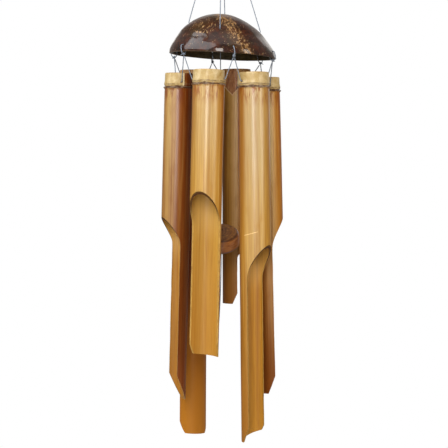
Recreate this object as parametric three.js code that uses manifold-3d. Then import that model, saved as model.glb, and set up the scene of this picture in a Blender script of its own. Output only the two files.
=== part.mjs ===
// Wind chime: six bamboo tubes, a coconut half shell and a round wooden clapper.
// Millimetres, +Z up. The origin is the inner top of the hang ring, where a hook bears.
// Azimuths are in degrees from +X towards +Y; the front of the chime faces -Y.
import * as THREE from 'three';
import { mergeVertices } from 'three/addons/utils/BufferGeometryUtils.js';
import Module from 'manifold-3d';

const wasm = await Module();
wasm.setup();

// ---------- driving dimensions ----------
const LINE_R = 0.6; // all suspension line, 1.2 mm across
const GAP = 0.35; // clearance between pieces that touch on the real chime

const RING_R = 9; // hang ring, centre line
const RING_WIRE_R = 1;
const LOOP_LENGTH = 14; // ring wire to gather knot
const GATHER_R = 3.2;

const SHELL_TOP_Z = -157.4; // top of the dome
const SHELL_HEIGHT = 48.9;
const SHELL_WALL = 4;
const SHELL_TILT = 3.2; // degrees, right end lower
const RIM_HOLE_H = 7.6; // rim holes, height above the rim
const RIM_KNOT_R = 1.9;
const RIM_KNOT_H = -3.2;
const RIM_CIRCLE_R = 60.5; // circle through the rim knots

// the canopy hangs so that the whole chime's centre of mass is under the ring
const CANOPY_X = 1.04;
const CANOPY_Y = 0.385;

// outer radius of the dome at a height above its rim
const SHELL_PROFILE = [
  [62.8, 0], [62.1, 4.7], [60.0, 9.4], [57.0, 14.1], [53.7, 18.8], [50.2, 23.5],
  [46.4, 28.2], [42.5, 32], [38.5, 35.2], [35.0, 37.6], [31.3, 40], [27.0, 42.3],
  [22.6, 44.3], [17.6, 46.2], [12.0, 47.7], [6.2, 48.6], [0, 48.9],
];

// hanger holes: azimuth and height above the rim
const HANGER_HOLES = {
  left: { az: 180, h: 36 },
  right: { az: 2, h: 29.5 },
  front: { az: 268, h: 27.5 },
  back: { az: 84, h: 31 },
};
const HANGER_HOLE_R = 1.7;
const CROSSING = [-4.2, 0, 27.5]; // where the two hanger lines cross inside the shell

const TUBE_CIRCLE_R = 52.4; // circle through the tubes' cross lines
const TUBE_WALL = 3;
const CROSS_HOLE_R = 1.5;
// One entry a tube. All z values are in the part's frame. az: where it hangs; face: where its
// mouth faces; top, node, hole: its upper end, its node ring and its cross line; mouth: the top
// of its mouth; drop: how far below that the cut meets the tongue; foot: its lowest point;
// cutX: the tongue's flat, from the tube's axis; bevel: height and inner end of the foot's slant.
// roll: degrees the foot hangs sideways, towards the cross line's anticlockwise end, because the
// line holds the tube a little off its middle; end: the foot's last cut, the azimuth it rises
// towards and by how much across the tube.
const TUBES = {
  1: { az: 192, face: 198, r: 16.8, top: -227.2, node: -243.4, hole: -238.0, mouth: -394.5, drop: 31, cutX: -1.5, foot: -607.3, bevel: [29, -15], roll: 0, end: [18, 0] },
  2: { az: 252, face: 245, r: 18.2, top: -225.9, node: -242.0, hole: -236.4, mouth: -364.7, drop: 38, cutX: -2.2, foot: -552.9, bevel: [14, -9], roll: -0.75, end: [180, 3.4] },
  3: { az: 312, face: 329, r: 18.2, top: -228.0, node: -244.4, hole: -238.4, mouth: -426.1, drop: 38, cutX: -1.0, foot: -651.7, bevel: [17, -9.5], roll: -0.25, end: [35, 13] },
  4: { az: 12, face: 12, r: 16.0, top: -230.7, node: -246.0, hole: -240.6, mouth: -395.7, drop: 35, cutX: -1.0, foot: -602.4, bevel: [21, -9], roll: 0, end: [0, 0] },
  5: { az: 72, face: 14, r: 17.1, top: -218.4, node: -233.5, hole: -228.0, mouth: -416.0, drop: 30, cutX: -3.5, foot: -499.5, bevel: [13, -9], roll: 0, end: [0, 0] },
  6: { az: 132, face: 111, r: 16.7, top: -220.0, node: -236.8, hole: -231.2, mouth: -470.0, drop: 36, cutX: -1.5, foot: -655.0, bevel: [15, -11.5], roll: -0.3, end: [180, 1.5] },
};

const CLAPPER_R = 22;
const CLAPPER_THICK = 19;
const CLAPPER_ROUND = 5; // edge rounding
const CLAPPER_TILT = 30; // degrees towards the front
const CLAPPER_ROLL = 2; // degrees, right side up
const CLAPPER_HOLE_R = 2.6;
const CLAPPER_Z = -420.3; // centre
const STOP_KNOT_R = 3;
const STOP_GAP = 1; // room for the disc to tip on its knot
const TAIL_R = 0.6;
const TAIL_KNOT_R = 1.9;
const TAIL_LENGTH = 118;

// ---------- helpers ----------
const rad = THREE.MathUtils.degToRad;
const V = (x, y, z) => new THREE.Vector3(x, y, z);

function solid(geometry) {
  const g = geometry.clone();
  g.deleteAttribute('normal');
  g.deleteAttribute('uv');
  const merged = mergeVertices(g, 1e-5);
  return new wasm.Manifold(new wasm.Mesh({
    numProp: 3,
    vertProperties: new Float32Array(merged.attributes.position.array),
    triVerts: new Uint32Array(merged.index.array),
  }));
}

function geometryOf(body) {
  const m = body.getMesh();
  const pos = new Float32Array((m.vertProperties.length / m.numProp) * 3);
  for (let i = 0; i < pos.length / 3; i++)
    for (let k = 0; k < 3; k++) pos[3 * i + k] = m.vertProperties[i * m.numProp + k];
  const g = new THREE.BufferGeometry();
  g.setAttribute('position', new THREE.BufferAttribute(pos, 3));
  g.setIndex(new THREE.BufferAttribute(new Uint32Array(m.triVerts), 1));
  g.computeVertexNormals();
  return g;
}

// A line of cord that passes through each point given, one step to each.
class Route extends THREE.Curve {
  constructor(points) {
    super();
    this.points = points;
  }
  getPoint(t, target = new THREE.Vector3()) {
    const n = this.points.length - 1;
    const s = Math.min(Math.max(t, 0), 1) * n;
    const i = Math.min(Math.floor(s), n - 1);
    return target.copy(this.points[i]).lerp(this.points[i + 1], s - i);
  }
  getPointAt(u, target) { return this.getPoint(u, target); }
  getSpacedPoints(n) { return Array.from({ length: n + 1 }, (_, i) => this.getPoint(i / n)); }
  getTangent(t, target = new THREE.Vector3()) {
    const n = this.points.length - 1;
    const i = Math.round(Math.min(Math.max(t, 0), 1) * n);
    const here = this.points[i];
    target.set(0, 0, 0);
    if (i > 0) target.add(here.clone().sub(this.points[i - 1]).normalize());
    if (i < n) target.add(this.points[i + 1].clone().sub(here).normalize());
    return target.normalize();
  }
  getTangentAt(u, target) { return this.getTangent(u, target); }
}

// The corner points of a route, each corner rounded.
function rounded(points, radius, steps = 4) {
  const out = [points[0].clone()];
  for (let i = 1; i < points.length - 1; i++) {
    const p = points[i];
    const a = points[i - 1].clone().sub(p);
    const b = points[i + 1].clone().sub(p);
    const cut = Math.min(radius, a.length() * 0.45, b.length() * 0.45);
    const p0 = p.clone().add(a.normalize().multiplyScalar(cut));
    const p1 = p.clone().add(b.normalize().multiplyScalar(cut));
    for (let k = 0; k <= steps; k++) {
      const t = k / steps;
      out.push(p0.clone().multiplyScalar((1 - t) ** 2)
        .add(p.clone().multiplyScalar(2 * t * (1 - t)))
        .add(p1.clone().multiplyScalar(t * t)));
    }
  }
  out.push(points[points.length - 1].clone());
  return out;
}

function cord(points, radius, sides = 8) {
  const section = new THREE.Shape(Array.from({ length: sides }, (_, i) => {
    const a = (2 * Math.PI * i) / sides;
    return new THREE.Vector2(radius * Math.cos(a), radius * Math.sin(a));
  }));
  return new THREE.ExtrudeGeometry(section, {
    steps: points.length - 1, curveSegments: 1, bevelEnabled: false, extrudePath: new Route(points),
  });
}

function ball(radius, at, w = 10, h = 7, stretch = 1) {
  const g = new THREE.SphereGeometry(radius, w, h);
  g.scale(1, 1, stretch);
  g.rotateX(Math.PI / 2);
  g.translate(at.x, at.y, at.z);
  return g;
}

function join(...geometries) {
  return geometryOf(geometries.map(solid).reduce((a, b) => a.add(b)));
}

// A cylinder of radius r from a to b, to cut holes with.
function rod(a, b, r, sides = 12) {
  const d = b.clone().sub(a);
  const g = new THREE.CylinderGeometry(r, r, d.length(), sides);
  g.applyQuaternion(new THREE.Quaternion().setFromUnitVectors(V(0, 1, 0), d.normalize()));
  const mid = a.clone().add(b).multiplyScalar(0.5);
  g.translate(mid.x, mid.y, mid.z);
  return g;
}

function centroid(geometry) {
  const g = geometry.index ? geometry.toNonIndexed() : geometry;
  const p = g.attributes.position;
  const a = V(), b = V(), c = V(), sum = V(0, 0, 0);
  let volume = 0;
  for (let i = 0; i < p.count; i += 3) {
    a.fromBufferAttribute(p, i); b.fromBufferAttribute(p, i + 1); c.fromBufferAttribute(p, i + 2);
    const v = a.dot(b.clone().cross(c)) / 6;
    volume += v;
    sum.add(a.clone().add(b).add(c).multiplyScalar(v / 4));
  }
  return sum.divideScalar(volume);
}

// ---------- materials ----------
const paint = (color, roughness, metalness = 0) =>
  new THREE.MeshStandardMaterial({ color, roughness, metalness });
const BAMBOO = {
  1: paint('#b4813f', 0.35), 2: paint('#d9b25f', 0.35), 3: paint('#d2a24e', 0.35),
  4: paint('#c0793a', 0.35), 5: paint('#8a6a33', 0.4), 6: paint('#7a4a22', 0.4),
};
const COCONUT = paint('#45200f', 0.25);
const CORD = paint('#4b5160', 0.6);
const STEEL = paint('#b9bcc0', 0.3, 1);
const DISC = paint('#7a4a22', 0.5);

const chime = new THREE.Group();
function piece(name, geometry, material, parent = chime) {
  const mesh = new THREE.Mesh(geometry, material);
  mesh.name = name;
  parent.add(mesh);
  return mesh;
}

// ---------- hang ring, ring loop and gather knot ----------
const ringCentre = V(0, 0, -(RING_R - RING_WIRE_R));
const ringWire = V(0, 0, ringCentre.z - RING_R); // lowest point of the ring's centre line
const ringGeometry = new THREE.TorusGeometry(RING_R, RING_WIRE_R, 8, 28);
ringGeometry.rotateX(Math.PI / 2);
ringGeometry.translate(0, 0, ringCentre.z);
piece('hang_ring', ringGeometry, STEEL);

const gather = V(0, 0, ringWire.z - LOOP_LENGTH);
const loopR = RING_WIRE_R + GAP + LINE_R;
const loopPoints = [];
const loopFoot = gather.z + GATHER_R + GAP + 0.2;
loopPoints.push(V(0, -0.95, loopFoot), V(0, -1.0, loopFoot + 1.5), V(0, -loopR, ringWire.z - 3));
for (let i = 0; i <= 8; i++) {
  const a = Math.PI - (Math.PI * i) / 8;
  loopPoints.push(V(0, loopR * Math.cos(a), ringWire.z + loopR * Math.sin(a)));
}
loopPoints.push(V(0, loopR, ringWire.z - 3), V(0, 1.0, loopFoot + 1.5), V(0, 0.95, loopFoot));
piece('ring_loop', cord(loopPoints, LINE_R), CORD);
piece('gather_knot', ball(GATHER_R, gather, 12, 8), CORD);

// ---------- canopy: shell, hanger lines and rim ties ----------
// The shell's own frame: +z up its axis, z 0 at the rim. It tilts about the line through its
// rim's centre, parallel to Y.
const rimCentre = V(
  CANOPY_X, CANOPY_Y, SHELL_TOP_Z - SHELL_HEIGHT * Math.cos(rad(SHELL_TILT)),
);
const shellFrame = new THREE.Matrix4().makeTranslation(rimCentre.x, rimCentre.y, rimCentre.z)
  .multiply(new THREE.Matrix4().makeRotationY(rad(SHELL_TILT)));
// rotating about +Y by a positive angle lowers the right end but carries the crown to the
// right; the crown leans left on this shell, so the dome is drawn with its crown shifted
const CROWN_SHIFT = -5.4; // mm at the crown, growing with height
const lean = (h) => CROWN_SHIFT * (h / SHELL_HEIGHT);

function outerR(h) {
  for (let i = 0; i < SHELL_PROFILE.length - 1; i++) {
    const [r0, h0] = SHELL_PROFILE[i], [r1, h1] = SHELL_PROFILE[i + 1];
    if (h >= h0 && h <= h1) return r0 + ((r1 - r0) * (h - h0)) / (h1 - h0);
  }
  return 0;
}
function normalAt(h) {
  const e = 1.5;
  const lo = Math.max(0, h - e), hi = Math.min(SHELL_HEIGHT, h + e);
  return new THREE.Vector2(hi - lo, outerR(lo) - outerR(hi)).normalize();
}
// a point on the shell's wall: depth below the outer face, along its normal
function onShell(az, h, depth) {
  const n = normalAt(h);
  const r = outerR(h) - depth * n.x;
  const z = h - depth * n.y;
  return V(r * Math.cos(rad(az)) + lean(h), r * Math.sin(rad(az)), z).applyMatrix4(shellFrame);
}
const shellPoint = (r, az, h) =>
  V(r * Math.cos(rad(az)) + lean(h), r * Math.sin(rad(az)), h).applyMatrix4(shellFrame);

const profile = [];
const inner = SHELL_PROFILE.slice(0, -1).map(([r, h]) => {
  const n = normalAt(h);
  return [Math.max(r - SHELL_WALL * n.x, 0), h - SHELL_WALL * n.y];
}).filter(([r, h], i) => h > 0.5 || i === 0);
inner[0] = [SHELL_PROFILE[0][0] - SHELL_WALL, 0];
profile.push(new THREE.Vector2(0, SHELL_HEIGHT - SHELL_WALL));
for (const [r, h] of inner.filter((_, i) => i % 2 === 0).reverse())
  if (r > 1) profile.push(new THREE.Vector2(r, h));
for (const [r, h] of SHELL_PROFILE) profile.push(new THREE.Vector2(r, h));
const shellGeometry = new THREE.LatheGeometry(profile, 36);
shellGeometry.rotateX(Math.PI / 2);
{
  const p = shellGeometry.attributes.position;
  for (let i = 0; i < p.count; i++) p.setX(i, p.getX(i) + lean(p.getZ(i)));
}
shellGeometry.applyMatrix4(shellFrame);
let shell = solid(shellGeometry);
if (shell.volume() < 0) throw new Error('the shell is inside out');

const rimAz = [222, 282, 342, 42, 102, 162];
for (const az of rimAz)
  shell = shell.subtract(solid(rod(
    shellPoint(RIM_CIRCLE_R + 8, az, RIM_HOLE_H), shellPoint(RIM_CIRCLE_R - 12, az, RIM_HOLE_H), 1.7)));
for (const { az, h } of Object.values(HANGER_HOLES))
  shell = shell.subtract(solid(rod(onShell(az, h, -5), onShell(az, h, SHELL_WALL + 5), HANGER_HOLE_R)));
piece('coconut_shell', geometryOf(shell), COCONUT);

// two hanger lines, each down one side, across under the crown and up the other side
const crossing = V(CROSSING[0] , CROSSING[1], CROSSING[2]).applyMatrix4(shellFrame);
function hanger(from, to, dz) {
  const start = (hole) => {
    const d = onShell(hole.az, hole.h, -1.1).sub(gather).normalize();
    return gather.clone().add(d.multiplyScalar(GATHER_R + GAP + 0.1));
  };
  const a = HANGER_HOLES[from], b = HANGER_HOLES[to];
  const middle = crossing.clone().add(V(0, 0, dz));
  return rounded([
    start(a), onShell(a.az, a.h, -1.1), onShell(a.az, a.h, SHELL_WALL + 1.1), middle,
    onShell(b.az, b.h, SHELL_WALL + 1.1), onShell(b.az, b.h, -1.1), start(b),
  ], 1.2, 3);
}
piece('hanger_line_left_right', cord(hanger('left', 'right', 0.8), LINE_R), CORD);
piece('hanger_line_front_back', cord(hanger('front', 'back', -0.8), LINE_R), CORD);

// rim ties: a loop through a rim hole and round the rim, closed by a knot under the rim
const rimKnots = {};
for (const az of rimAz) {
  const knot = shellPoint(RIM_CIRCLE_R, az, RIM_KNOT_H);
  rimKnots[az] = knot;
  const route = [
    [60.3, -3.2], [63.2, -1.9], [64.0, 0.6], [63.9, 4.6], [63.0, 6.9], [60.6, 7.6],
    [57.4, 7.4], [56.1, 6.0], [56.6, 3.4], [57.6, -0.6], [58.4, -2.2], [60.7, -3.2],
  ].map(([r, h]) => shellPoint(r, az, h));
  const name = { 222: 'front_left', 282: 'front', 342: 'right', 42: 'back_right', 102: 'back', 162: 'left' }[az];
  piece(`rim_tie_${name}`, join(cord(route, LINE_R, 6), ball(RIM_KNOT_R, knot, 8, 6)), CORD);
}

// ---------- tubes and their suspension lines ----------
const NAMES = { 1: 'left', 2: 'front_left', 3: 'front_right', 4: 'right', 5: 'back_right', 6: 'back_left' };
for (const [n, t] of Object.entries(TUBES)) {
  const a = rimKnots[(t.az - 30 + 360) % 360];
  const b = rimKnots[(t.az + 30) % 360];
  const mid = a.clone().add(b).multiplyScalar(0.5);
  const tangent = b.clone().sub(a).setZ(0).normalize(); // level, along the cross line
  const pivot = V(mid.x, mid.y, t.hole);

  // the tube about its own axis, z measured from its cross line
  const z = (v) => v - t.hole;
  const ri = t.r - TUBE_WALL;
  const wall = [
    [0, z(t.node) - 2], [ri, z(t.node) - 2], [ri, z(t.foot)], [t.r, z(t.foot)],
    [t.r, z(t.node) - 3], [t.r + 0.5, z(t.node) - 1], [t.r + 0.8, z(t.node)],
    [t.r + 0.1, z(t.node) + 1.2], [t.r - 0.2, z(t.top)], [ri, z(t.top)],
    [ri, z(t.node) + 2], [0, z(t.node) + 2],
  ];
  const tube = new THREE.LatheGeometry(wall.map(([x, y]) => new THREE.Vector2(x, y)), 28);
  tube.rotateX(Math.PI / 2);
  // mouth: slanting in from the outer face, then running down into the tongue's flat
  const m = z(t.mouth), out = t.r + 4, R = t.r;
  const slope = (t.drop * 0.72) / R;
  const cut = new THREE.Shape([
    [out, m + 4 * slope], [R, m], [R * 0.45, m - R * 0.55 * slope], [R * 0.12, m - t.drop * 0.68],
    [t.cutX + 0.6, m - t.drop * 0.88], [t.cutX, m - t.drop * 1.1], [t.cutX, z(t.foot) - 5], [out, z(t.foot) - 5],
  ].map(([x, y]) => new THREE.Vector2(x, y)));
  const slant = new THREE.Shape([
    [R + 1, z(t.foot) + t.bevel[0] + (R + 1 - t.cutX) * 1.8], [t.cutX, z(t.foot) + t.bevel[0]],
    [t.bevel[1], z(t.foot)], [t.bevel[1], z(t.foot) - 5], [R + 1, z(t.foot) - 5],
  ].map(([x, y]) => new THREE.Vector2(x, y)));
  let body = solid(tube);
  for (const shape of [cut, slant]) {
    const g = new THREE.ExtrudeGeometry(shape, { depth: 60, bevelEnabled: false, curveSegments: 1 });
    g.translate(0, 0, -30);
    g.rotateX(Math.PI / 2);
    body = body.subtract(solid(g));
  }
  if (t.end[1]) {
    const fall = Math.atan2(t.end[1], 2 * R);
    const box = new THREE.BoxGeometry(120, 120, 60);
    box.translate(0, 0, -30);
    box.rotateY(-fall);
    box.translate(0, 0, z(t.foot) + t.end[1] / 2);
    box.rotateZ(rad(t.end[0] - t.face));
    body = body.subtract(solid(box));
  }
  // turned so that its mouth faces t.face while its cross holes stay level with the rim's chord
  const tubeGeometry = geometryOf(body);
  tubeGeometry.rotateZ(rad(t.face));
  const drill = rod(tangent.clone().multiplyScalar(-R - 4), tangent.clone().multiplyScalar(R + 4), CROSS_HOLE_R, 10);
  const finished = geometryOf(solid(tubeGeometry).subtract(solid(drill)));

  // it hangs plumb: turned about its cross line until its centroid is straight below
  const outward = V(tangent.y, -tangent.x, 0);
  if (outward.dot(V(pivot.x - rimCentre.x, pivot.y - rimCentre.y, 0)) < 0) outward.negate();
  const c = centroid(finished);
  const angle = Math.atan2(-c.dot(outward), -c.z);
  const axis = outward.clone().cross(V(0, 0, 1)); // turning by +angle about this moves the foot outward
  const hung = new THREE.Group();
  hung.position.copy(pivot);
  hung.quaternion.setFromAxisAngle(axis, -angle);
  chime.add(hung);
  const side = outward.clone().cross(V(0, 0, 1)).negate(); // anticlockwise seen from above
  const check = c.clone().applyQuaternion(hung.quaternion);
  if (Math.abs(check.dot(outward)) > 0.01) hung.quaternion.setFromAxisAngle(axis, angle);
  const rolled = new THREE.Quaternion().setFromAxisAngle(outward, (side.dot(V(-outward.y, outward.x, 0)) > 0 ? 1 : -1) * rad(t.roll));
  hung.quaternion.premultiply(rolled);
  const tubeMesh = piece(`bamboo_tube_${NAMES[n]}`, finished, BAMBOO[n], hung);
  tubeMesh.userData = {
    n: Number(n), pivot: pivot.toArray(), tangent: tangent.toArray(), outward: outward.toArray(),
    knotA: a.toArray(), knotB: b.toArray(), lean: THREE.MathUtils.radToDeg(angle), at: mid.toArray(),
  };

  // one line from the rim knot on one side, through the tube and up to the knot on the other
  const sideA = pivot.clone().add(tangent.clone().multiplyScalar(-(R + 1.6)));
  const sideB = pivot.clone().add(tangent.clone().multiplyScalar(R + 1.6));
  const clear = RIM_KNOT_R + GAP + 0.15;
  const from = a.clone().add(sideA.clone().sub(a).normalize().multiplyScalar(clear));
  const to = b.clone().add(sideB.clone().sub(b).normalize().multiplyScalar(clear));
  piece(`suspension_line_${NAMES[n]}`, cord(rounded([from, sideA, sideB, to], 1.3, 4), LINE_R), CORD);
}

// ---------- clapper ----------
// its tie hangs on the crossing of the two hanger lines
const tieDir = V(Math.SQRT1_2, Math.SQRT1_2, 0);
const tieKnot = crossing.clone().add(V(0, 0, -5));
const at = (d, dz) => crossing.clone().add(tieDir.clone().multiplyScalar(d)).add(V(0, 0, dz));
const tieRoute = [at(-0.6, -5), at(-2.6, -3), at(-2.9, 0), at(-2.2, 2.2), at(0, 3.0), at(2.2, 2.2), at(2.9, 0), at(2.6, -3), at(0.6, -5)];
piece('clapper_tie', join(cord(tieRoute, LINE_R, 6), ball(1.9, tieKnot, 8, 6)), CORD);

const tiltQ = new THREE.Quaternion().setFromEuler(
  new THREE.Euler(rad(CLAPPER_TILT), -rad(CLAPPER_ROLL), 0, 'XYZ'));
const n = V(0, 0, 1).applyQuaternion(tiltQ); // the disc's axis
const discCentre = V(crossing.x, crossing.y, CLAPPER_Z);
// the hole is off centre, so the disc hangs tilted with its centroid under its upper mouth
const half = CLAPPER_THICK / 2;
const mouthTop = discCentre.clone().add(V(0, 0, half / n.z));
const mouthFoot = mouthTop.clone().sub(n.clone().multiplyScalar(CLAPPER_THICK));
const discProfile = [[0, -half]];
for (let i = 0; i <= 4; i++) {
  const a = -Math.PI / 2 + (Math.PI / 2) * (i / 4);
  discProfile.push([CLAPPER_R - CLAPPER_ROUND + CLAPPER_ROUND * Math.cos(a), -half + CLAPPER_ROUND + CLAPPER_ROUND * Math.sin(a)]);
}
for (let i = 0; i <= 4; i++) {
  const a = (Math.PI / 2) * (i / 4);
  discProfile.push([CLAPPER_R - CLAPPER_ROUND + CLAPPER_ROUND * Math.cos(a), half - CLAPPER_ROUND + CLAPPER_ROUND * Math.sin(a)]);
}
discProfile.push([0, half]);
const discGeometry = new THREE.LatheGeometry(discProfile.map(([x, y]) => new THREE.Vector2(x, y)), 32);
discGeometry.rotateX(Math.PI / 2);
discGeometry.applyQuaternion(tiltQ);
discGeometry.translate(discCentre.x, discCentre.y, discCentre.z);
const disc = solid(discGeometry).subtract(solid(rod(
  mouthTop.clone().add(n.clone().multiplyScalar(4)), mouthFoot.clone().sub(n.clone().multiplyScalar(4)), CLAPPER_HOLE_R, 14)));
const discMesh = piece('clapper_disc', geometryOf(disc), DISC);
discMesh.userData = { centre: discCentre.toArray(), axis: n.toArray(), mouth: mouthTop.toArray() };

piece('clapper_line', cord([
  tieKnot.clone().add(V(0, 0, -1.9 - GAP - 0.1)), crossing.clone().lerp(mouthTop, 0.5), mouthTop.clone().add(V(0, 0, 1.2)),
], LINE_R), CORD).userData = { pivot: crossing.toArray() };

const stopKnot = mouthFoot.clone().sub(n.clone().multiplyScalar(STOP_KNOT_R + STOP_GAP - 0.2));
piece('clapper_stop_knot', join(
  cord([mouthTop.clone().add(V(0, 0, 0.75)), mouthTop.clone().sub(n.clone().multiplyScalar(0.6)), mouthFoot, stopKnot], LINE_R, 8),
  ball(STOP_KNOT_R, stopKnot, 10, 8)), CORD).userData = { centre: stopKnot.toArray() };

// the tail hangs from the stop knot in a long slack curve to the left
const tailTop = stopKnot.clone().add(V(0, 0, -STOP_KNOT_R - GAP));
const tail = [];
for (let i = 0; i <= 16; i++) {
  const s = i / 16;
  tail.push(tailTop.clone().add(V(-5 * s * s, 0.5 * Math.sin(2 * Math.PI * s), -(TAIL_LENGTH - 2) * s)));
}
piece('tail_line', cord(tail, TAIL_R), CORD).userData = { top: tailTop.toArray(), points: tail.map((p) => p.toArray()) };
const tailKnot = tail[16].clone().add(V(0, 0, -TAIL_KNOT_R - GAP));
piece('tail_knot', ball(TAIL_KNOT_R, tailKnot, 8, 6), CORD).userData = { centre: tailKnot.toArray() };

export default chime;
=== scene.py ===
import math

import bpy
import numpy as np
from mathutils import Matrix, Quaternion, Vector, noise


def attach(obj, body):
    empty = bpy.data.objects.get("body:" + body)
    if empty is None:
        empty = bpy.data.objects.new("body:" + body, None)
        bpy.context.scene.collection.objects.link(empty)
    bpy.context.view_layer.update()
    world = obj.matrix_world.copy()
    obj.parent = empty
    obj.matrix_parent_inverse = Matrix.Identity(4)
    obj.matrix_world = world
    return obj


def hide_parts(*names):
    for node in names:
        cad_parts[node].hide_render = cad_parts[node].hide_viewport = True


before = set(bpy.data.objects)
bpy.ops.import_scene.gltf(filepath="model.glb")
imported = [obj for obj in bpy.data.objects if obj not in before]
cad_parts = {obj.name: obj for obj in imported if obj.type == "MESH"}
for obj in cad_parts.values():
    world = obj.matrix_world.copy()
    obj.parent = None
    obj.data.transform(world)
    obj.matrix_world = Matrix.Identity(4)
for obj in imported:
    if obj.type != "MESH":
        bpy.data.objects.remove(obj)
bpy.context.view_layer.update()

MM = 0.001


scene = bpy.context.scene


# ------------------------------------------------------------------ camera
camera_data = bpy.data.cameras.new("camera")
camera_data.sensor_width = 36
camera_data.lens = 130.16
camera = bpy.data.objects.new("camera", camera_data)
scene.collection.objects.link(camera)
camera.location = (0.00245, -1.9, -0.3487)
camera.rotation_euler = (math.radians(90 - 1.63), 0, 0)
scene.camera = camera


# ------------------------------------------------------------------ colour and shader helpers
def rgb(text):
    out = []
    for i in (1, 3, 5):
        c = int(text[i:i + 2], 16) / 255
        out.append(c / 12.92 if c <= 0.04045 else ((c + 0.055) / 1.055) ** 2.4)
    return (*out, 1.0)


class Shade:
    """A material's nodes, written as expressions."""

    def __init__(self, name, **fixed):
        self.material = bpy.data.materials.new(name)
        self.material.use_nodes = True
        self.tree = self.material.node_tree
        self.tree.nodes.clear()
        out = self.tree.nodes.new("ShaderNodeOutputMaterial")
        self.bsdf = self.tree.nodes.new("ShaderNodeBsdfPrincipled")
        self.tree.links.new(self.bsdf.outputs[0], out.inputs[0])
        for key, value in fixed.items():
            self.bsdf.inputs[key.replace("_", " ")].default_value = value
        coords = self.tree.nodes.new("ShaderNodeTexCoord")
        scale = self.tree.nodes.new("ShaderNodeVectorMath")
        scale.operation = "SCALE"
        scale.inputs["Scale"].default_value = 1000
        self.tree.links.new(coords.outputs["Object"], scale.inputs[0])
        self.p = scale.outputs[0]  # millimetres in the piece's own frame
        split = self.tree.nodes.new("ShaderNodeSeparateXYZ")
        self.tree.links.new(self.p, split.inputs[0])
        self.x, self.y, self.z = split.outputs

    def put(self, socket, value):
        if isinstance(value, bpy.types.NodeSocket):
            self.tree.links.new(value, socket)
        else:
            socket.default_value = value

    def math(self, op, a, b=0.0, clamp=False):
        n = self.tree.nodes.new("ShaderNodeMath")
        n.operation = op
        n.use_clamp = clamp
        self.put(n.inputs[0], a)
        self.put(n.inputs[1], b)
        return n.outputs[0]

    def add(self, a, b): return self.math("ADD", a, b)
    def sub(self, a, b): return self.math("SUBTRACT", a, b)
    def mul(self, a, b): return self.math("MULTIPLY", a, b)
    def abs(self, a): return self.math("ABSOLUTE", a)

    def step(self, value, low, high, to=(0.0, 1.0)):
        n = self.tree.nodes.new("ShaderNodeMapRange")
        n.interpolation_type = "SMOOTHSTEP"
        for i, v in enumerate((value, low, high, to[0], to[1])):
            self.put(n.inputs[i], v)
        return n.outputs[0]

    def vector(self, x, y, z):
        n = self.tree.nodes.new("ShaderNodeCombineXYZ")
        for i, v in enumerate((x, y, z)):
            self.put(n.inputs[i], v)
        return n.outputs[0]

    def stretched(self, sx, sy, sz, shift=(0, 0, 0)):
        n = self.tree.nodes.new("ShaderNodeVectorMath")
        n.operation = "MULTIPLY_ADD"
        self.put(n.inputs[0], self.p)
        n.inputs[1].default_value = (sx, sy, sz)
        n.inputs[2].default_value = shift
        return n.outputs[0]

    def noise(self, vector, scale=1.0, detail=3.0, rough=0.5, distortion=0.0):
        n = self.tree.nodes.new("ShaderNodeTexNoise")
        self.put(n.inputs["Vector"], vector)
        n.inputs["Scale"].default_value = scale
        n.inputs["Detail"].default_value = detail
        n.inputs["Roughness"].default_value = rough
        n.inputs["Distortion"].default_value = distortion
        return n.outputs[0]

    def voronoi(self, vector, scale=1.0, feature="F1"):
        n = self.tree.nodes.new("ShaderNodeTexVoronoi")
        n.feature = feature
        self.put(n.inputs["Vector"], vector)
        n.inputs["Scale"].default_value = scale
        return n.outputs["Distance"]

    def ramp(self, value, stops, smooth=True):
        n = self.tree.nodes.new("ShaderNodeValToRGB")
        n.color_ramp.interpolation = "EASE" if smooth else "LINEAR"
        e = n.color_ramp.elements
        while len(e) > 1:
            e.remove(e[-1])
        e[0].position = stops[0][0]
        e[0].color = rgb(stops[0][1])
        for at, colour in stops[1:]:
            e.new(at).color = rgb(colour)
        self.put(n.inputs[0], value)
        return n.outputs[0]

    def mix(self, factor, a, b, mode="MIX"):
        n = self.tree.nodes.new("ShaderNodeMix")
        n.data_type = "RGBA"
        n.blend_type = mode
        self.put(n.inputs[0], factor)
        self.put(n.inputs[6], rgb(a) if isinstance(a, str) else a)
        self.put(n.inputs[7], rgb(b) if isinstance(b, str) else b)
        return n.outputs[2]

    def grey(self, value):
        return self.vector(value, value, value)

    def bump(self, height, strength=0.4, distance=0.1):
        n = self.tree.nodes.new("ShaderNodeBump")
        n.inputs["Strength"].default_value = strength
        n.inputs["Distance"].default_value = distance * MM
        self.put(n.inputs["Height"], height)
        self.tree.links.new(n.outputs[0], self.bsdf.inputs["Normal"])
        return n

    def set(self, name, value):
        self.put(self.bsdf.inputs[name], value)


# ------------------------------------------------------------------ mesh helpers
def mesh_object(name, verts, faces, matrix=None):
    data = bpy.data.meshes.new(name)
    data.from_pydata([tuple(v) for v in verts], [], faces)
    data.validate()
    data.update()
    obj = bpy.data.objects.new(name, data)
    scene.collection.objects.link(obj)
    if matrix is not None:
        obj.matrix_world = matrix
    return obj


def smooth(obj, angle=None):
    obj.data.polygons.foreach_set("use_smooth", [True] * len(obj.data.polygons))
    if angle is not None:
        obj.data.set_sharp_from_angle(angle=math.radians(angle))
    return obj


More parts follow.
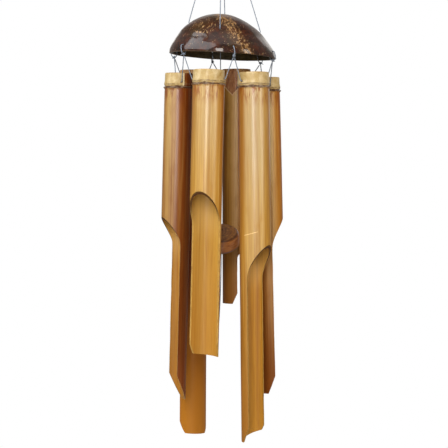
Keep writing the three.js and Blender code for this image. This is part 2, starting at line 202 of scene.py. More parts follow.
def revolve(path, n, shape=None):
    """Closed surface of a path of (r, z) about z; it starts and ends on the axis.
    shape(i, angle, r, z) -> point moves each vertex."""
    verts, faces, rings = [], [], []
    for i, (r, z) in enumerate(path):
        if r < 1e-7:
            rings.append([len(verts)])
            verts.append((0, 0, z) if shape is None else shape(i, 0.0, 0.0, z))
            continue
        rings.append(list(range(len(verts), len(verts) + n)))
        for k in range(n):
            a = 2 * math.pi * k / n
            verts.append((r * math.cos(a), r * math.sin(a), z) if shape is None else shape(i, a, r, z))
    for lo, hi in zip(rings, rings[1:]):
        for k in range(n):
            j = (k + 1) % n
            if len(lo) == 1:
                faces.append((lo[0], hi[j], hi[k]))
            elif len(hi) == 1:
                faces.append((lo[k], lo[j], hi[0]))
            else:
                faces.append((lo[k], lo[j], hi[j], hi[k]))
    return verts, faces


def outward(obj):
    """Turn the faces of a closed mesh outward."""
    import bmesh
    bm = bmesh.new()
    bm.from_mesh(obj.data)
    bmesh.ops.recalc_face_normals(bm, faces=bm.faces)
    bm.to_mesh(obj.data)
    bm.free()
    return obj


def cut(obj, cutter):
    """Take the cutter away from obj. Where the solver meets a coincidence the cutter is turned or moved by a hair."""
    outward(cutter)
    before = len(obj.data.polygons)
    place = cutter.matrix_world.copy()
    done = None
    for turn, shift, tolerant in ((0, 0, False), (0, 0, True), (0.11, 0.02, False), (-0.17, 0.035, True), (0.43, -0.05, False), (0.23, 0.03, True)):
        cutter.matrix_world = Matrix.Translation(Vector((shift, shift * 0.7, shift * 1.3)) * MM) @ place @ Matrix.Rotation(math.radians(turn), 4, "Z")
        m = obj.modifiers.new("cut", "BOOLEAN")
        m.operation = "DIFFERENCE"
        m.solver = "EXACT"
        m.use_self = tolerant
        m.use_hole_tolerant = tolerant
        m.object = cutter
        bpy.context.view_layer.update()
        done = bpy.data.meshes.new_from_object(obj.evaluated_get(bpy.context.evaluated_depsgraph_get()))
        obj.modifiers.remove(m)
        if len(done.polygons) > before * 0.25:
            break
        bpy.data.meshes.remove(done)
        done = None
    if done is None:
        raise RuntimeError(f"{obj.name}: the cut failed")
    old = obj.data
    done.name = old.name
    obj.data = done
    bpy.data.meshes.remove(old)
    bpy.data.objects.remove(cutter)
    return obj


def prism(name, outline, low, high, matrix):
    """An outline in x and z, drawn along y from low to high."""
    n = len(outline)
    verts = [(x, low, z) for x, z in outline] + [(x, high, z) for x, z in outline]
    faces = [tuple(range(n))[::-1], tuple(range(n, 2 * n))]
    faces += [(i, (i + 1) % n, (i + 1) % n + n, i + n) for i in range(n)]
    return mesh_object(name, verts, faces, matrix)


def rod(name, a, b, r, n=24, matrix=None):
    a, b = Vector(a), Vector(b)
    q = Vector((0, 0, 1)).rotation_difference(b - a)
    verts, faces = [], []
    for end in (a, b):
        for k in range(n):
            t = 2 * math.pi * k / n
            verts.append(end + q @ Vector((r * math.cos(t), r * math.sin(t), 0)))
    faces = [tuple(range(n))[::-1], tuple(range(n, 2 * n))]
    faces += [(i, (i + 1) % n, (i + 1) % n + n, i + n) for i in range(n)]
    return mesh_object(name, verts, faces, matrix)


def merged(name, objs):
    verts, faces = [], []
    for o in objs:
        base = len(verts)
        verts += [tuple(o.matrix_world @ v.co) for v in o.data.vertices]
        faces += [tuple(i + base for i in p.vertices) for p in o.data.polygons]
    for o in objs:
        bpy.data.objects.remove(o)
    return mesh_object(name, verts, faces)


def curve_through(points, step, closed=False):
    """Points a step apart on a smooth curve through the given points (Catmull-Rom)."""
    p = [Vector(v) for v in points]
    n = len(p)
    dense = []
    for i in range(n if closed else n - 1):
        if closed:
            a, b, c, d = p[(i - 1) % n], p[i], p[(i + 1) % n], p[(i + 2) % n]
        else:
            b, c = p[i], p[i + 1]
            a = p[i - 1] if i else b + (b - c)
            d = p[i + 2] if i + 2 < n else c + (c - b)
        ta = 0.0
        tb = ta + max((b - a).length, 1e-9) ** 0.5
        tc = tb + max((c - b).length, 1e-9) ** 0.5
        td = tc + max((d - c).length, 1e-9) ** 0.5
        k = max(2, int(math.ceil((c - b).length / step * 2)))
        for s in range(k):
            t = tb + (tc - tb) * s / k
            a1 = a * ((tb - t) / (tb - ta)) + b * ((t - ta) / (tb - ta))
            a2 = b * ((tc - t) / (tc - tb)) + c * ((t - tb) / (tc - tb))
            a3 = c * ((td - t) / (td - tc)) + d * ((t - tc) / (td - tc))
            b1 = a1 * ((tc - t) / (tc - ta)) + a2 * ((t - ta) / (tc - ta))
            b2 = a2 * ((td - t) / (td - tb)) + a3 * ((t - tb) / (td - tb))
            dense.append(b1 * ((tc - t) / (tc - tb)) + b2 * ((t - tb) / (tc - tb)))
    dense.append(p[0].copy() if closed else p[-1].copy())
    length = [0.0]
    for a, b in zip(dense, dense[1:]):
        length.append(length[-1] + (b - a).length)
    count = max(3, int(round(length[-1] / step)))
    out, j = [], 0
    for i in range(count + (0 if closed else 1)):
        want = length[-1] * i / count
        while j < len(length) - 2 and length[j + 1] < want:
            j += 1
        span = length[j + 1] - length[j]
        f = (want - length[j]) / span if span > 1e-12 else 0
        out.append(dense[j].lerp(dense[j + 1], min(max(f, 0), 1)))
    return out


def corners(points, radius, steps=6):
    """A route with straight runs and rounded corners."""
    pts = [Vector(p) for p in points]
    out = [pts[0].copy()]
    for a, p, b in zip(pts, pts[1:], pts[2:]):
        u, v = a - p, b - p
        c = min(radius, u.length * 0.45, v.length * 0.45)
        p0, p1 = p + u.normalized() * c, p + v.normalized() * c
        for k in range(steps + 1):
            t = k / steps
            out.append(p0 * (1 - t) ** 2 + p * 2 * t * (1 - t) + p1 * t * t)
    out.append(pts[-1].copy())
    return out


def along(points, step):
    """Points a step apart on a polyline."""
    length = [0.0]
    for a, b in zip(points, points[1:]):
        length.append(length[-1] + (b - a).length)
    count = max(2, int(round(length[-1] / step)))
    out, j = [], 0
    for i in range(count + 1):
        want = length[-1] * i / count
        while j < len(length) - 2 and length[j + 1] < want:
            j += 1
        span = length[j + 1] - length[j]
        f = (want - length[j]) / span if span > 1e-12 else 0
        out.append(points[j].lerp(points[j + 1], min(max(f, 0), 1)))
    return out


def twisted(points, radius, closed=False, pitch=3.4, sides=12, strands=3, depth=0.2):
    """Verts and faces of a twisted line that follows the points, in millimetres."""
    n = len(points)
    tangents = []
    for i in range(n):
        a = points[(i - 1) % n] if closed or i else points[0]
        b = points[(i + 1) % n] if closed or i < n - 1 else points[-1]
        tangents.append((b - a).normalized())
    side = tangents[0].orthogonal().normalized()
    sides_at, run, s = [], [], 0.0
    for i in range(n):
        if i:
            side = tangents[i - 1].rotation_difference(tangents[i]) @ side
            s += (points[i] - points[i - 1]).length
        side = (side - tangents[i] * side.dot(tangents[i])).normalized()
        sides_at.append(side.copy())
        run.append(s)
    total = run[-1] + ((points[0] - points[-1]).length if closed else 0)
    carry = 0.0
    turns = total / pitch
    if closed:  # the last frame has to meet the first, by a third of a turn at a time
        last = tangents[-1].rotation_difference(tangents[0]) @ sides_at[-1]
        carry = math.atan2(tangents[0].dot(sides_at[0].cross(last)), sides_at[0].dot(last))
        turns = round(turns * strands) / strands
    verts, faces = [], []
    for i, p in enumerate(points):
        t, u = tangents[i], sides_at[i]
        v = t.cross(u)
        f = run[i] / total
        spin = 2 * math.pi * turns * f
        frame_turn = -carry * f
        for k in range(sides):
            a = 2 * math.pi * k / sides
            r = radius * (1 - depth * (0.5 - 0.5 * math.cos(strands * (a - spin))))
            b = a + frame_turn
            verts.append(p + (u * math.cos(b) + v * math.sin(b)) * r)
    for i in range(n if closed else n - 1):
        j = (i + 1) % n
        for k in range(sides):
            m = (k + 1) % sides
            faces.append((i * sides + k, i * sides + m, j * sides + m, j * sides + k))
    if not closed:
        faces.append(tuple(range(sides))[::-1])
        faces.append(tuple(range((n - 1) * sides, n * sides)))
    return verts, faces


def collect(parts):
    verts, faces = [], []
    for v, f in parts:
        base = len(verts)
        verts += list(v)
        faces += [tuple(i + base for i in face) for face in f]
    return [Vector(v) * MM for v in verts], faces


def knot_line(centre, size, line, axis=(0, 0, 1), turn=0.0, flat=1.0):
    """A pulled-tight overhand knot as one closed run of line: size is its outer radius."""
    k = (size - line) / 3.0
    q = Vector((0, 0, 1)).rotation_difference(Vector(axis)) @ Quaternion((0, 0, 1), turn)
    pts = []
    for i in range(72):
        t = 2 * math.pi * i / 72
        v = Vector((math.sin(t) + 2 * math.sin(2 * t), math.cos(t) - 2 * math.cos(2 * t), -1.9 * math.sin(3 * t) * flat))
        pts.append(Vector(centre) + q @ (v * k))
    return twisted(pts, line, closed=True, pitch=3.0, sides=10, depth=0.15)


def finish_piece(obj, material, body, nodes):
    if material is not None:
        obj.data.materials.clear()
        obj.data.materials.append(material)
    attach(obj, body)
    if nodes:
        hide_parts(*nodes)
    return obj


# ------------------------------------------------------------------ the line's material
def line_material(name, dark, pale, roughness=0.5):
    s = Shade(name, Coat_Weight=0.12, Coat_Roughness=0.35, Specular_IOR_Level=0.45)
    grime = s.noise(s.p, 0.35, 2)
    fuzz = s.noise(s.p, 6.0, 2)
    colour = s.mix(s.step(grime, 0.35, 0.7), dark, pale)
    colour = s.mix(s.step(fuzz, 0.35, 0.75, (0.0, 0.5)), colour, "#3a414c")
    s.set("Base Color", colour)
    s.set("Roughness", s.step(fuzz, 0.2, 0.8, (roughness - 0.1, roughness + 0.15)))
    s.bump(fuzz, 0.35, 0.08)
    return s.material


LINE = line_material("waxed_line", "#68717f", "#8f98a5")

# ------------------------------------------------------------------ tail cord, first
TAIL_TOP = Vector((-0.8226512974, 11.7780554280, -432.4070092494))
TAIL = [TAIL_TOP + Vector((-5 * (i / 16) ** 2, 0.5 * math.sin(2 * math.pi * i / 16), -116 * i / 16)) for i in range(17)]
tail_points = along(TAIL, 0.45)
v, f = collect([twisted(tail_points, 0.6)])
tail = smooth(mesh_object("tail_cord", v, f), 60)
finish_piece(tail, LINE, "tail", ["tail_line"])
tail_end = TAIL[-1] + Vector((0, 0, -2.25))
wisp = [tail_end + Vector(p) for p in ((0, 0, -1.0), (0.3, 0.1, -2.6), (0.9, 0.2, -4.4), (1.2, 0.5, -6.2))]
v, f = collect([
    knot_line(tail_end, 1.95, 0.6, axis=(0.3, 1, 0.2)),
    twisted(curve_through([TAIL[-1], tail_end + Vector((0.1, 0, 0.6)), tail_end], 0.4), 0.58),
    twisted(curve_through(wisp[:2], 0.3), 0.5, pitch=2.4),
])
tail_knot = smooth(mesh_object("tail_end_knot", v, f), 60)
finish_piece(tail_knot, LINE, "tail", ["tail_knot"])

# ------------------------------------------------------------------ places, as in the CAD model
SHELL_TILT, SHELL_TOP_Z, SHELL_HEIGHT, SHELL_WALL = 3.2, -157.4, 48.9, 4.0
CANOPY = Vector((1.04, 0.385, SHELL_TOP_Z - SHELL_HEIGHT * math.cos(math.radians(SHELL_TILT))))
SHELL_FRAME = Matrix.Translation(CANOPY) @ Matrix.Rotation(math.radians(SHELL_TILT), 4, "Y")
PROFILE = [
    (62.8, 0), (62.1, 4.7), (60.0, 9.4), (57.0, 14.1), (53.7, 18.8), (50.2, 23.5), (46.4, 28.2), (42.5, 32),
    (38.5, 35.2), (35.0, 37.6), (31.3, 40), (27.0, 42.3), (22.6, 44.3), (17.6, 46.2), (12.0, 47.7), (6.2, 48.6), (0, 48.9),
]
RIM_AZ = [222, 282, 342, 42, 102, 162]
RIM_NAME = {222: "front_left", 282: "front", 342: "right", 42: "back_right", 102: "back", 162: "left"}
HANGER_HOLES = {"left": (180, 36), "right": (2, 29.5), "front": (268, 27.5), "back": (84, 31)}


def lean(h):
    return -5.4 * h / SHELL_HEIGHT


def outer_r(h):
    for (r0, h0), (r1, h1) in zip(PROFILE, PROFILE[1:]):
        if h0 <= h <= h1:
            return r0 + (r1 - r0) * (h - h0) / (h1 - h0)
    return 0.0


def wall_normal(h):
    lo, hi = max(0.0, h - 1.5), min(SHELL_HEIGHT, h + 1.5)
    v = Vector((hi - lo, outer_r(lo) - outer_r(hi)))
    return v.normalized()


def shell_point(r, az, h):
    a = math.radians(az)
    return SHELL_FRAME @ Vector((r * math.cos(a) + lean(h), r * math.sin(a), h))


def on_shell(az, h, depth):
    n = wall_normal(h)
    r, z = outer_r(h) - depth * n.x, h - depth * n.y
    a = math.radians(az)
    return SHELL_FRAME @ Vector((r * math.cos(a) + lean(h), r * math.sin(a), z))


RIM_KNOTS = {az: shell_point(60.5, az, -3.2) for az in RIM_AZ}
GATHER = Vector((0, 0, -31.0))
CROSSING = SHELL_FRAME @ Vector((-4.2, 0, 27.5))

NAMES = {1: "left", 2: "front_left", 3: "front_right", 4: "right", 5: "back_right", 6: "back_left"}
TUBES = {
    1: dict(az=192, face=198, r=16.8, top=-227.2, node=-243.4, hole=-238.0, mouth=-394.5, drop=31, cutX=-1.5, foot=-607.3, bevel=(29, -15), roll=0, end=(18, 0), lean=1.4639183),
    2: dict(az=252, face=245, r=18.2, top=-225.9, node=-242.0, hole=-236.4, mouth=-364.7, drop=38, cutX=-2.2, foot=-552.9, bevel=(14, -9), roll=-0.75, end=(180, 3.4), lean=1.9113634),
    3: dict(az=312, face=329, r=18.2, top=-228.0, node=-244.4, hole=-238.4, mouth=-426.1, drop=38, cutX=-1.0, foot=-651.7, bevel=(17, -9.5), roll=-0.25, end=(35, 13), lean=1.2254171),
    4: dict(az=12, face=12, r=16.0, top=-230.7, node=-246.0, hole=-240.6, mouth=-395.7, drop=35, cutX=-1.0, foot=-602.4, bevel=(21, -9), roll=0, end=(0, 0), lean=1.3761306),
    5: dict(az=72, face=14, r=17.1, top=-218.4, node=-233.5, hole=-228.0, mouth=-416.0, drop=30, cutX=-3.5, foot=-499.5, bevel=(13, -9), roll=0, end=(0, 0), lean=0.4194239),
    6: dict(az=132, face=111, r=16.7, top=-220.0, node=-236.8, hole=-231.2, mouth=-470.0, drop=36, cutX=-1.5, foot=-655.0, bevel=(15, -11.5), roll=-0.3, end=(180, 1.5), lean=0.7771625),
}
for t in TUBES.values():
    t["a"], t["b"] = RIM_KNOTS[(t["az"] - 30) % 360], RIM_KNOTS[(t["az"] + 30) % 360]
    mid = (t["a"] + t["b"]) / 2
    d = t["b"] - t["a"]
    t["tangent"] = Vector((d.x, d.y, 0)).normalized()
    t["pivot"] = Vector((mid.x, mid.y, t["hole"]))
    o = Vector((t["tangent"].y, -t["tangent"].x, 0))
    if o.dot(t["pivot"] - CANOPY) < 0:
        o.negate()
    t["outward"] = o
    t["turn"] = Quaternion(o, math.radians(t["roll"])) @ Quaternion(o.cross(Vector((0, 0, 1))), math.radians(t["lean"]))
    t["matrix"] = Matrix.Translation(t["pivot"] * MM) @ t["turn"].to_matrix().to_4x4()


# ------------------------------------------------------------------ bamboo materials
def across(s):
    """Where a point s of the way across the front (-1 left edge, 1 right edge) falls on the turn about the culm."""
    return 0.5 + math.asin(max(-1, min(1, s))) / (2 * math.pi)


def skin_material(n, spec):
    t = TUBES[n]
    node, top, mouth, foot = (t[k] - t["hole"] for k in ("node", "top", "mouth", "foot"))
    s = Shade(f"bamboo_skin_{NAMES[n]}", Coat_Roughness=0.29, Specular_IOR_Level=0.12)
    sh = (n * 7.3, n * 3.1, n * 5.7)
    turn = s.math("ARCTAN2", s.x, s.mul(s.y, -1.0))
    turn = s.add(s.mul(turn, 1 / (2 * math.pi)), 0.5)
    wide = s.noise(s.stretched(0.16, 0.16, 0.0045, sh), 1.0, 3)
    mid_streak = s.noise(s.stretched(0.5, 0.5, 0.010, sh), 1.0, 3, 0.55)
    fine = s.noise(s.stretched(2.2, 2.2, 0.03, sh), 1.0, 3, 0.6)
    mottle = s.noise(s.stretched(0.09, 0.09, 0.03, sh), 1.0, 4)
    # the colour round the culm: the bamboo's own tone, with painted light and shade as seen from the front: paler where
    # highlights fall, darker on shaded flanks
    base = s.ramp(s.add(turn, s.mul(s.sub(wide, 0.5), 0.05)), spec["around_tone_and_painted_light"])
    # long streaks, darker and paler
    base = s.mix(s.step(mid_streak, 0.5, 0.72, (0.0, spec.get("streak", 0.5))), base, spec["streaks"])
    base = s.mix(s.step(mid_streak, 0.46, 0.26, (0.0, 0.4)), base, spec["pale"])
    base = s.mix(s.step(fine, 0.45, 0.75, (0.0, 0.35)), base, s.mix(1.0, base, "#b08a58", "MULTIPLY"))
    base = s.mix(s.step(mottle, 0.52, 0.78, (0.0, spec.get("mottle", 0.5))), base, spec["streaks"])
    # more golden from the middle down, then the foot's tone
    base = s.mix(s.step(s.z, node - 40, mouth + 15, (0.0, 0.45)), base, s.mix(s.step(mid_streak, 0.35, 0.65), spec["mid"], spec["streaks"]))
    down = s.step(s.z, spec.get("from", mouth + 30), foot, (0.0, 1.0))
    base = s.mix(s.mul(down, spec.get("low", 0.5)), base, spec["foot"])
    # below the node: stained runs
    if spec.get("node", True):
        runs = s.noise(s.stretched(0.28, 0.28, 0.05, sh), 1.0, 3, 0.6)
        under = s.step(s.z, node - 26, node - 7)
        stain = s.mul(s.step(runs, 0.43, 0.58), s.mul(under, s.step(s.z, node + 0.5, node - 1.5)))
        base = s.mix(s.mul(stain, 0.85), base, spec["stain"])
        # the cup above the node: scraped pale, blotched
        blotch = s.noise(s.stretched(0.13, 0.13, 0.11, sh), 1.0, 4, 0.6)
        cup = s.ramp(blotch, [(0.25, spec["cup"][0]), (0.47, spec["cup"][1]), (0.62, spec["cup"][2]), (0.8, spec["cup"][3])])
        cup = s.mix(s.step(mid_streak, 0.5, 0.75, (0.0, 0.35)), cup, spec["cup"][0])
        if "painted_shade_side" in spec:  # painted shade: one side of the cup is painted as dark as the shaded culm under it, with a thin pale line along that side's edge
            lo, hi = spec["painted_shade_side"]
            side = s.add(turn, s.mul(s.sub(wide, 0.5), 0.02))
            cup = s.mix(s.mul(s.step(side, lo - 0.012, lo), s.step(side, lo + 0.016, lo + 0.004)), cup, "#e2cfa4")
            cup = s.mix(s.mul(s.step(side, lo + 0.004, lo + 0.016), s.step(side, hi + 0.05, hi)), cup, base)
        base = s.mix(s.step(s.z, node + 0.6, node + 1.6), base, cup)
        # the dark scar line of the node
        wob = s.mul(s.sub(s.noise(s.stretched(0.12, 0.12, 0.0, sh), 1.0, 2), 0.5), 1.6)
        gap = s.abs(s.add(s.sub(s.z, node - 0.1), wob))
        thick = s.step(s.noise(s.stretched(0.2, 0.2, 0.0, (sh[1], sh[0], 4)), 1.0, 2), 0.3, 0.7, (0.7, 1.6))
        upper = s.abs(s.add(s.sub(s.z, node + 3.1), s.mul(wob, 1.3)))
        second = s.mul(s.step(upper, 0.75, 0.25), s.step(s.noise(s.stretched(0.11, 0.11, 0.0, (sh[2], sh[0], 9)), 1.0, 2), 0.38, 0.52))
        scar = s.math("MAXIMUM", s.step(s.sub(gap, thick), 0.45, -0.15), s.mul(second, 0.75))
        scar_colour = s.mix(s.step(s.noise(s.stretched(0.22, 0.22, 0.3, sh), 1.0, 2), 0.45, 0.62), "#41210f", "#7d6a56")
        base = s.mix(s.mul(scar, 0.93), base, scar_colour)
        # a little brown along the sawn top
        base = s.mix(s.mul(s.step(s.z, top - 1.0, top - 0.1), 0.35), base, "#8a6a3a")
    if "diamond" in spec:  # a scrap of dark sheath skin, pointed below
        cx, low, widest, high, half = spec["diamond"]
        edge_noise = s.mul(s.sub(s.noise(s.stretched(0.35, 0.35, 0.2, sh), 1.0, 3), 0.5), 3.0)
        lower = s.mul(s.sub(s.z, low), half / (widest - low))
        upper = s.add(half, s.mul(s.sub(s.z, widest), -0.5 * half / (high - widest)))
        half_width = s.math("MINIMUM", lower, upper)
        inside = s.sub(s.add(half_width, edge_noise), s.abs(s.sub(s.x, cx)))
        front = s.step(s.y, -1.0, -4.0)
        grain = s.noise(s.stretched(0.5, 0.5, 0.12, sh), 1.0, 4, 0.6)
        patch = s.ramp(grain, [(0.3, "#70452a"), (0.5, "#95613a"), (0.7, "#ab7a50")])
        base = s.mix(s.mul(front, s.mul(s.step(inside, -1.6, -0.4), s.step(inside, 1.4, 0.3))), base, "#c8a070")
        base = s.mix(s.mul(front, s.step(inside, 0.2, 1.0)), base, patch)
    if "scratch" in spec:
        (x0, z0), (x1, z1) = spec["scratch"]
        k = (z1 - z0) / (x1 - x0)
        off = s.abs(s.sub(s.z, s.add(z0, s.mul(s.sub(s.x, x0), k))))
        mask = s.mul(s.step(off, 0.6, 0.2), s.mul(s.step(s.x, x0 - 0.5, x0 + 1.5), s.step(s.x, x1 + 0.5, x1 - 1.0)))
        mask = s.mul(mask, s.step(s.y, 0.0, -4.0))
        base = s.mix(s.mul(mask, s.step(s.noise(s.p, 0.6, 2), 0.3, 0.5, (0.4, 0.8))), base, "#e4c284")
    s.set("Base Color", base)
    coat = spec.get("coat", 0.85)
    gloss = s.step(s.z, mouth - 40, mouth + 140, (coat * 0.25, coat))  # the varnish is worn towards the foot
    s.set("Coat Weight", s.mul(gloss, s.step(s.z, node + 3, node, (0.3, 1.0))) if spec.get("node", True) else gloss)
    s.set("Roughness", s.step(mid_streak, 0.3, 0.75, (0.34, 0.5)))
    s.bump(s.add(s.mul(fine, 0.6), mid_streak), 0.25, 0.12)
    return s.material


def inner_material(n, spec):
    t = TUBES[n]
    mouth, foot = t["mouth"] - t["hole"], t["foot"] - t["hole"]
    s = Shade(f"bamboo_inside_{NAMES[n]}", Coat_Weight=0.15, Coat_Roughness=0.3, Specular_IOR_Level=0.18)
    sh = (n * 2.3, n * 9.1, n * 4.7)
    wide = s.noise(s.stretched(0.22, 0.22, 0.005, sh), 1.0, 3)
    fibre = s.noise(s.stretched(1.2, 1.2, 0.016, sh), 1.0, 4, 0.6)
    base = s.ramp(wide, [(0.28, spec["inside"][0]), (0.46, spec["inside"][1]), (0.58, spec["inside"][2]), (0.74, spec["inside"][0])])
    base = s.mix(s.step(fibre, 0.48, 0.7, (0.0, 0.55)), base, spec["inside"][3])
    down = s.step(s.z, mouth - 10, foot + 10)
    base = s.mix(s.mul(down, spec.get("low_inside", 0.55)), base, spec["inside_foot"])
    # darker up in the bore and round the diaphragm: painted shade
    base = s.mix(s.step(s.z, mouth - 5, mouth + 40, (0.0, 0.4)), base, "#6e4a22")
    # painted light: a paler band on the inner wall just under the top of the mouth, against the shadow there
    base = s.mix(s.mul(s.step(s.z, mouth - 60, mouth - 22), s.step(s.z, mouth + 25, mouth + 5, (0.0, 0.38))), base, "#dcb268")
    pith = s.noise(s.stretched(0.3, 0.3, 0.25, sh), 1.0, 3)
    base = s.mix(s.mul(s.step(s.z, -16, -8), s.step(pith, 0.3, 0.7, (0.4, 0.9))), base, "#c4a36a")
    s.set("Base Color", base)
    s.set("Roughness", s.step(fibre, 0.3, 0.7, (0.38, 0.58)))
    s.bump(fibre, 0.45, 0.25)
    return s.material


def sawn_material(n, spec):
    t = TUBES[n]
    mouth = t["mouth"] - t["hole"]
    s = Shade(f"bamboo_sawn_{NAMES[n]}", Coat_Weight=0.05, Coat_Roughness=0.4, Specular_IOR_Level=0.15)
    sh = (n * 1.3, n * 6.1, n * 2.9)
    dots = s.voronoi(s.stretched(1.0, 1.0, 0.10, sh), 1.5)
    lines = s.noise(s.stretched(1.6, 1.6, 0.05, sh), 1.0, 3, 0.6)
    base = s.mix(s.step(dots, 0.12, 0.45), spec["sawn"][1], spec["sawn"][0])
    base = s.mix(s.step(lines, 0.48, 0.7, (0.0, 0.6)), base, spec["sawn"][1])
    dirt = s.noise(s.p, 0.12, 3)
    base = s.mix(s.step(dirt, 0.5, 0.75, (0.0, 0.5)), base, spec["sawn"][2])
    # painted shade: the sawn face along the top of the mouth's arch is painted dark brown
    arch = s.mul(s.step(s.z, mouth - 0.95 * t["drop"], mouth - 0.35 * t["drop"]), s.step(s.z, mouth + 40, mouth + 20))
    base = s.mix(s.mul(arch, s.step(lines, 0.25, 0.6, (1.0, 0.85))), base, spec.get("arch", "#3c1c08"))
    s.set("Base Color", base)
    s.set("Roughness", s.step(lines, 0.3, 0.7, (0.5, 0.7)))
    s.bump(s.add(lines, dots), 0.4, 0.15)
    return s.material


GOLD = dict(mid="#ba8a30", cup=("#94743c", "#ae9462", "#bfa87c", "#b0965e"), stain="#84480f", streaks="#a0702a", pale="#e0c284", foot="#b07626",
            inside=("#a2752c", "#b08436", "#b68c3e", "#906020"), inside_foot="#a66e22", sawn=("#aa8440", "#845a24", "#6e481c"))
SPECS = {
    # left tube: painted light and shade: the left of the front is painted tan where the window's reflection falls; the
    # right is the culm's own dark brown, made darker as painted shade from the front-left tube
    1: dict(GOLD, around_tone_and_painted_light=[(0.0, "#7a4a1c"), (0.22, "#80581f"), (across(-0.9), "#9a7034"), (across(-0.6), "#aa8850"), (across(-0.3), "#a8845a"),
                          (across(-0.05), "#94694a"), (across(0.15), "#83470f"), (across(0.45), "#743606"), (across(0.75), "#602803"), (0.75, "#521d00"), (1.0, "#7a4a1c")],
            mid="#8c5e2c", streaks="#6e3a14", pale="#b8925c", stain="#6e3008", foot="#6a2f0c", coat=0.75, painted_shade_side=(across(0.32), 0.86), inside=("#8e5e1c", "#a06e24", "#a8762a", "#7c4810"), inside_foot="#8a5414", low=0.6, sawn=("#a07a44", "#7a5426", "#5c3c18")),
    # front-left tube: painted light and shade: paler bands where the highlights fall, darker towards both flanks
    2: dict(GOLD, around_tone_and_painted_light=[(0.0, "#a87430"), (0.2, "#8f5c1c"), (across(-0.97), "#8f5e1e"), (across(-0.8), "#9c7230"), (across(-0.5), "#b49258"),
                          (across(-0.2), "#ae8e5a"), (across(0.1), "#aa8b5c"), (across(0.45), "#b89456"), (across(0.7), "#aa7a30"), (across(0.92), "#985e1e"), (0.8, "#935618"), (1.0, "#a87430")]),
    # front-right tube: painted light and shade: paler across the middle where the highlights fall, darker towards both
    # flanks
    3: dict(GOLD, around_tone_and_painted_light=[(0.0, "#b88138"), (0.2, "#8a5018"), (across(-0.97), "#8f4c14"), (across(-0.78), "#9a6626"), (across(-0.45), "#b49664"),
                          (across(-0.15), "#aa9060"), (across(0.15), "#b0966e"), (across(0.4), "#b89c68"), (across(0.68), "#a67a30"), (across(0.92), "#9c6824"), (0.8, "#9c682a"), (1.0, "#b88138")],
            scratch=((-13.0, -176.0), (2.8, -172.0)), foot="#8a5414", low=0.78, inside=("#9c661c", "#b07a24", "#b6822c", "#824a0e"), inside_foot="#a6721e"),
    # right tube: painted light and shade: the middle of the front is painted pale where the highlight falls, and the
    # left darker where the front-right tube's shadow falls
    4: dict(GOLD, around_tone_and_painted_light=[(0.0, "#a8662c"), (0.2, "#7a3c12"), (across(-0.6), "#96561f"), (across(-0.1), "#cca872"), (across(0.2), "#cbac76"),
                          (across(0.45), "#c0924c"), (across(0.7), "#a4681c"), (across(0.93), "#8c4e10"), (0.8, "#8a4a1a"), (1.0, "#a8662c")],
            mid="#b07a2c", streaks="#8a5218", pale="#d0a870", foot="#6c3400", low=0.95, coat=0.25, sawn=("#a47840", "#7c5224", "#603c18")),
    # back-right tube: painted light: the left of the front is painted paler, against the shadow the front-left tube
    # casts there
    5: dict(GOLD, around_tone_and_painted_light=[(0.0, "#8a6430"), (0.2, "#744814"), (across(-0.85), "#9a6420"), (across(-0.5), "#b4843e"), (across(-0.1), "#c8a26c"),
                          (across(0.3), "#a27846"), (across(0.7), "#7e5222"), (0.8, "#6e4a20"), (1.0, "#8a6430")],
            coat=0.1, mid="#845616", streaks="#744814", pale="#a8824a", foot="#8a5420", low=0.8, stain="#6a4420", node=False, diamond=(-5.0, -21.7, -11.0, 9.5, 9.5),
            inside=("#7a5420", "#8c642a", "#9a7034", "#5e3a12"), inside_foot="#7a4a1a"),
    # back-left tube: painted shade: the culm and its cup are painted dark brown for the shade of the tubes round it,
    # paler towards the foot
    6: dict(GOLD, around_tone_and_painted_light=[(0.0, "#6e3a12"), (0.2, "#5a2408"), (across(-0.6), "#642c0a"), (across(0.0), "#5e2609"), (across(0.6), "#542006"),
                          (0.8, "#4e1e06"), (1.0, "#6e3a12")],
            mid="#6c380c", streaks="#4e1e04", pale="#7e4410", foot="#a2661a", low=0.95, stain="#4c1c04", cup=("#7a4a20", "#a87a48", "#b08858", "#8a5a2c"),
            inside=("#8a5a22", "#9c6c2c", "#a8783a", "#6a3c12"), inside_foot="#8a5a22"),
}


# ------------------------------------------------------------------ bamboo tubes
def wobble(a, z, seed, scale, height):
    return noise.noise(Vector((math.cos(a) * scale, math.sin(a) * scale, z * height)) + Vector((seed, seed * 0.7, -seed)))


